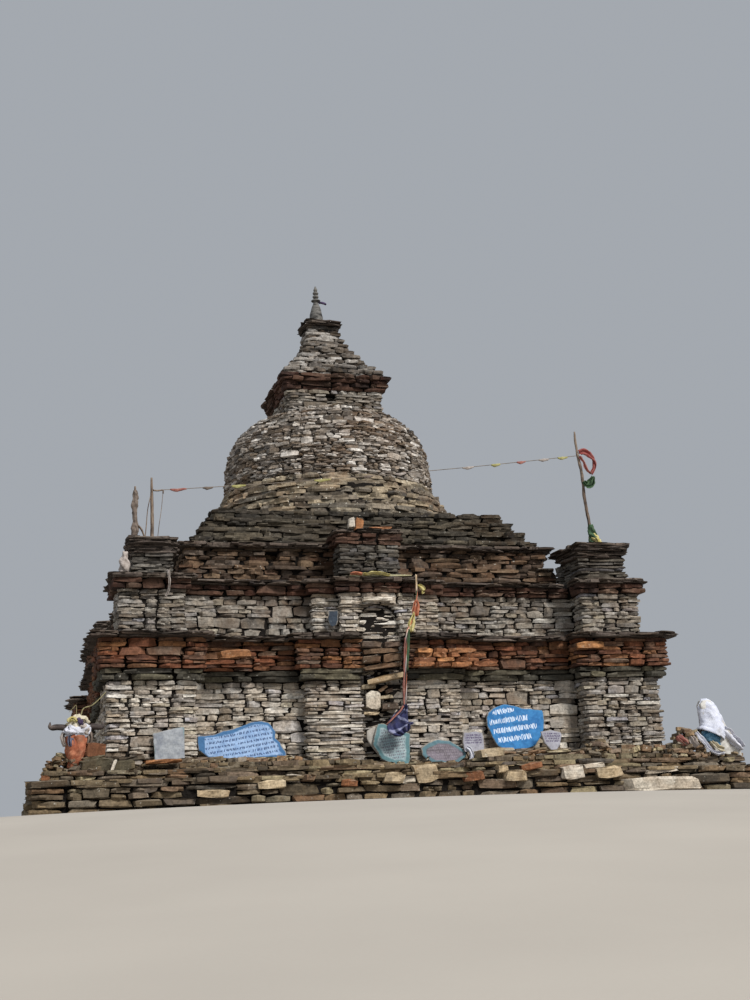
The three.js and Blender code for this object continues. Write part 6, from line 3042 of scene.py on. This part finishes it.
def masonry_works() -> list[Masonry]:
    """Lists every piece of masonry from the ground up.

    Returns:
        The pieces, in the order in which they are laid.
    """
    rubble = (Stretch(RUBBLE, PALE_RUBBLE),)
    dim_rubble = (Stretch(RUBBLE, DIM_RUBBLE),)
    caps = (Stretch(CAP, CAP_SLATE),)
    ledges = (Stretch(LEDGE_COURSES, TERRACE_STONE),)
    cornice = (Stretch(RED_COURSES, CORNICE_STONE),)
    return [
        Masonry("plinth_base", "field_stone", (Stretch(PLINTH_COURSES, FIELD_STONE),), 0.12, FIELD_STONE),
        Masonry(
            "plinth_top_courses", "field_stone", (Stretch(LEDGE_COURSES, FIELD_STONE),), 0.1, FIELD_STONE,
            ledges=(0.6,), sunk=0.1, flags=CLOSE_FLAGS,
        ),
        Masonry("lower_wall", "pale_rubble", (Stretch(RECESS, PALE_RUBBLE),)),
        *(
            Masonry(f"lower_pier_{corner}", "pale_rubble", (Stretch(RUBBLE, finish),))
            for corner, finish in CORNER_FINISHES.items()
        ),
        Masonry("doorway_pilaster_left", "pale_rubble", rubble),
        Masonry("doorway_pilaster_right", "pale_rubble", rubble),
        Masonry("doorway_filling", "pale_rubble", rubble, 0.025),
        Masonry("lower_corbel", "pale_rubble", (Stretch(CORBEL, CORBEL_STONE),), 0.12),
        Masonry("red_band", "red_stone", (Stretch(RED_COURSES, RED_STONE),), 0.14),
        Masonry("lower_cap_slabs", "slate", caps, 0.26, CAP_SLATE),
        Masonry("second_wall", "pale_rubble", (Stretch(RECESS, DIM_RUBBLE),)),
        *(Masonry(f"second_pier_{corner}", "pale_rubble", dim_rubble) for corner in CORNER_FINISHES),
        Masonry("second_front_bay", "pale_rubble", rubble),
        Masonry("second_cornice", "brown_stone", cornice, 0.12),
        Masonry("second_cap_slabs", "slate", caps, 0.22, CAP_SLATE),
        Masonry("third_wall", "brown_stone", (Stretch(LEDGE_COURSES, BROWN_RUBBLE),), 0.08, CAP_SLATE),
        Masonry("third_cap_slabs", "slate", caps, 0.16, CAP_SLATE),
        *(
            Masonry(
                f"turret_{corner}", "pale_rubble",
                (Stretch(RUBBLE, DARK_RUBBLE, high=3.54), Stretch(CAP, CAP_SLATE, low=3.54)), 0.1, CAP_SLATE,
            )
            for corner in CORNER_FINISHES
        ),
        *(
            Masonry(
                f"dormer_{side}", "pale_rubble",
                (
                    Stretch(RUBBLE, DARK_RUBBLE, high=3.765),
                    Stretch(RED_COURSES, CORNICE_STONE, low=3.765, high=3.935),
                    Stretch(CAP, CAP_SLATE, low=3.935),
                ),
                0.07, CAP_SLATE,
            )
            for side in ("front", "right", "back", "left")
        ),
        *(Masonry(f"terrace_{step}", "terrace_stone", ledges, 0.1, TERRACE_STONE) for step in (1, 2, 3, 4)),
        Masonry("dome_skirt", "brown_stone", (Stretch(LEDGE_COURSES, SKIRT_STONE),), 0.08),
        Masonry(
            "dome", "dome_stone",
            (Stretch(DOME_COURSES, DOME_STONE, high=6.47), Stretch(DOME_CROWN, DOME_STONE, low=6.47)), 0.07,
        ),
        Masonry("harmika", "pale_rubble", dim_rubble),
        Masonry("harmika_cornice", "brown_stone", (Stretch(LEDGE_COURSES, CORNICE_STONE),), 0.1),
        Masonry("roof", "brown_stone", (Stretch(ROOF_COURSES, ROOF_STONE),), 0.07),
        Masonry("roof_slab", "slate", caps, 0.04),
    ]


@dataclass(frozen=True)
class Eye:
    """The camera, where the photographer stood: below the plinth, left of the front."""

    place: Point = (-4.919, -21.764, -0.677)
    yaw: float = 14.734
    pitch: float = 14.876
    roll: float = -2.391
    lens: float = 50.0

    def build(self) -> None:
        """Makes the camera the scene's own."""
        yaw, pitch, roll = (math.radians(angle) for angle in (self.yaw, self.pitch, self.roll))
        forward = Vector((math.sin(yaw) * math.cos(pitch), math.cos(yaw) * math.cos(pitch), math.sin(pitch)))
        level = Vector((math.cos(yaw), -math.sin(yaw), 0))
        upward = level.cross(forward)
        right = level * math.cos(roll) + upward * math.sin(roll)
        up = upward * math.cos(roll) - level * math.sin(roll)
        data = bpy.data.cameras.new("eye")
        data.lens = self.lens
        data.sensor_width = 36.0
        data.clip_end = 400.0
        camera = bpy.data.objects.new("eye", data)
        turned = Matrix((right, up, -forward)).transposed().to_4x4()
        camera.matrix_world = Matrix.Translation(self.place) @ turned
        bpy.context.scene.collection.objects.link(camera)
        bpy.context.scene.camera = camera


@dataclass(frozen=True)
class Studio:
    """The plain pale floor, a low hill with the plinth on its level top, and soft light."""

    level_half: float = 5.6
    reach: float = 60.0
    fall: float = 0.14
    rings: int = 40
    spokes: int = 96

    CORNER_REACH: ClassVar[float] = 1.42
    EASING: ClassVar[float] = 3.0
    UNDER: ClassVar[float] = 0.002
    SUNS: ClassVar[tuple[tuple[Point, float, float, Point], ...]] = (
        ((46, 0, 30), 4.3, 18, (1.0, 0.97, 0.93)),
        ((60, 0, -62), 0.4, 40, (0.9, 0.95, 1.0)),
    )

    def build(self) -> None:
        """Builds the floor, the sky light and the suns."""
        self._floor()
        self._sky()
        for sun in self.SUNS:
            self._sun(*sun)
        bpy.context.scene.view_settings.view_transform = "Standard"

    def _floor(self) -> None:
        """Builds the hill, level under the plinth and falling away outside it."""
        shape = bmesh.new()
        centre = shape.verts.new((0, 0, 0))
        rows = []
        for ring in range(self.rings):
            past = (self.reach - self.level_half) * (ring / (self.rings - 1)) ** 2
            radius = self.level_half * self.CORNER_REACH + past
            drop = self.fall * past * past / (past + self.EASING)
            row = []
            for spoke in range(self.spokes):
                angle = 2 * math.pi * spoke / self.spokes
                spot = (radius * math.cos(angle), radius * math.sin(angle), -drop - self.UNDER)
                row.append(shape.verts.new(spot))
            rows.append(row)
        for spoke in range(self.spokes):
            after = (spoke + 1) % self.spokes
            shape.faces.new((centre, rows[0][spoke], rows[0][after]))
            for inner, outer in zip(rows, rows[1:]):
                shape.faces.new((inner[spoke], outer[spoke], outer[after], inner[after]))
        for face in shape.faces:
            face.smooth = True
        floor = to_object(shape, "floor")
        made = Material("floor")
        colour = made.ramp(made.noise(made.place(), 0.6, 3.0), ("#9c968e", "#aaa49b"))
        grain = made.noise(made.place(), 30.0, 2.0)
        floor.data.materials.append(made.finished(colour, 0.95, grain, 0.1, 0.01))

    def _sky(self) -> None:
        """Fills the scene with soft light from all round."""
        world = bpy.data.worlds.new("soft_sky")
        world.use_nodes = True
        graph = Graph(world.node_tree)
        back = graph.node("ShaderNodeBackground", sockets={"Color": (0.74, 0.79, 0.86, 1), "Strength": 0.5})
        graph.node("ShaderNodeOutputWorld", sockets={"Surface": back.outputs[0]})
        bpy.context.scene.world = world

    @staticmethod
    def _sun(turn: Point, strength: float, softness: float, colour: Point) -> None:
        """Adds one soft distant light.

        Args:
            turn: The light's turn about each axis, in degrees.
            strength: How bright it is.
            softness: How wide it looks, in degrees.
            colour: Its colour.
        """
        data = bpy.data.lights.new("light", "SUN")
        data.energy = strength
        data.angle = math.radians(softness)
        data.color = colour
        light = bpy.data.objects.new("light", data)
        light.rotation_euler = [math.radians(part) for part in turn]
        bpy.context.scene.collection.objects.link(light)


def main() -> None:
    """Builds the scene in order."""
    logging.basicConfig(level=logging.INFO, format="%(message)s")
    noise.seed_set(NOISE_SEED)
    Eye().build()
    Streamer().build()
    Studio().build()
    works = masonry_works()
    mason = Mason(StoneStock(), [work.node for work in works])
    groups = loose_stones()
    for stones in groups:
        stones.reserve(mason)
    for seed, work in enumerate(works, 1):
        work.build(mason, seed)
    for seed, stones in enumerate(groups, 1000):
        stones.build(mason, seed)
    for slab in slabs():
        slab.build()
    Offerings().build()
    Finial().build()
    for rods in POLES:
        rods.build()
    for cloth in (*streamer_cloths(), *FlagLine().flags(), *POLE_CLOTHS, *offering_cloths()):
        cloth.build()
    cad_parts["flag_line"].data.materials.clear()
    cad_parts["flag_line"].data.materials.append(LINE_CORD.material())


if __name__ == "__main__":
    main()
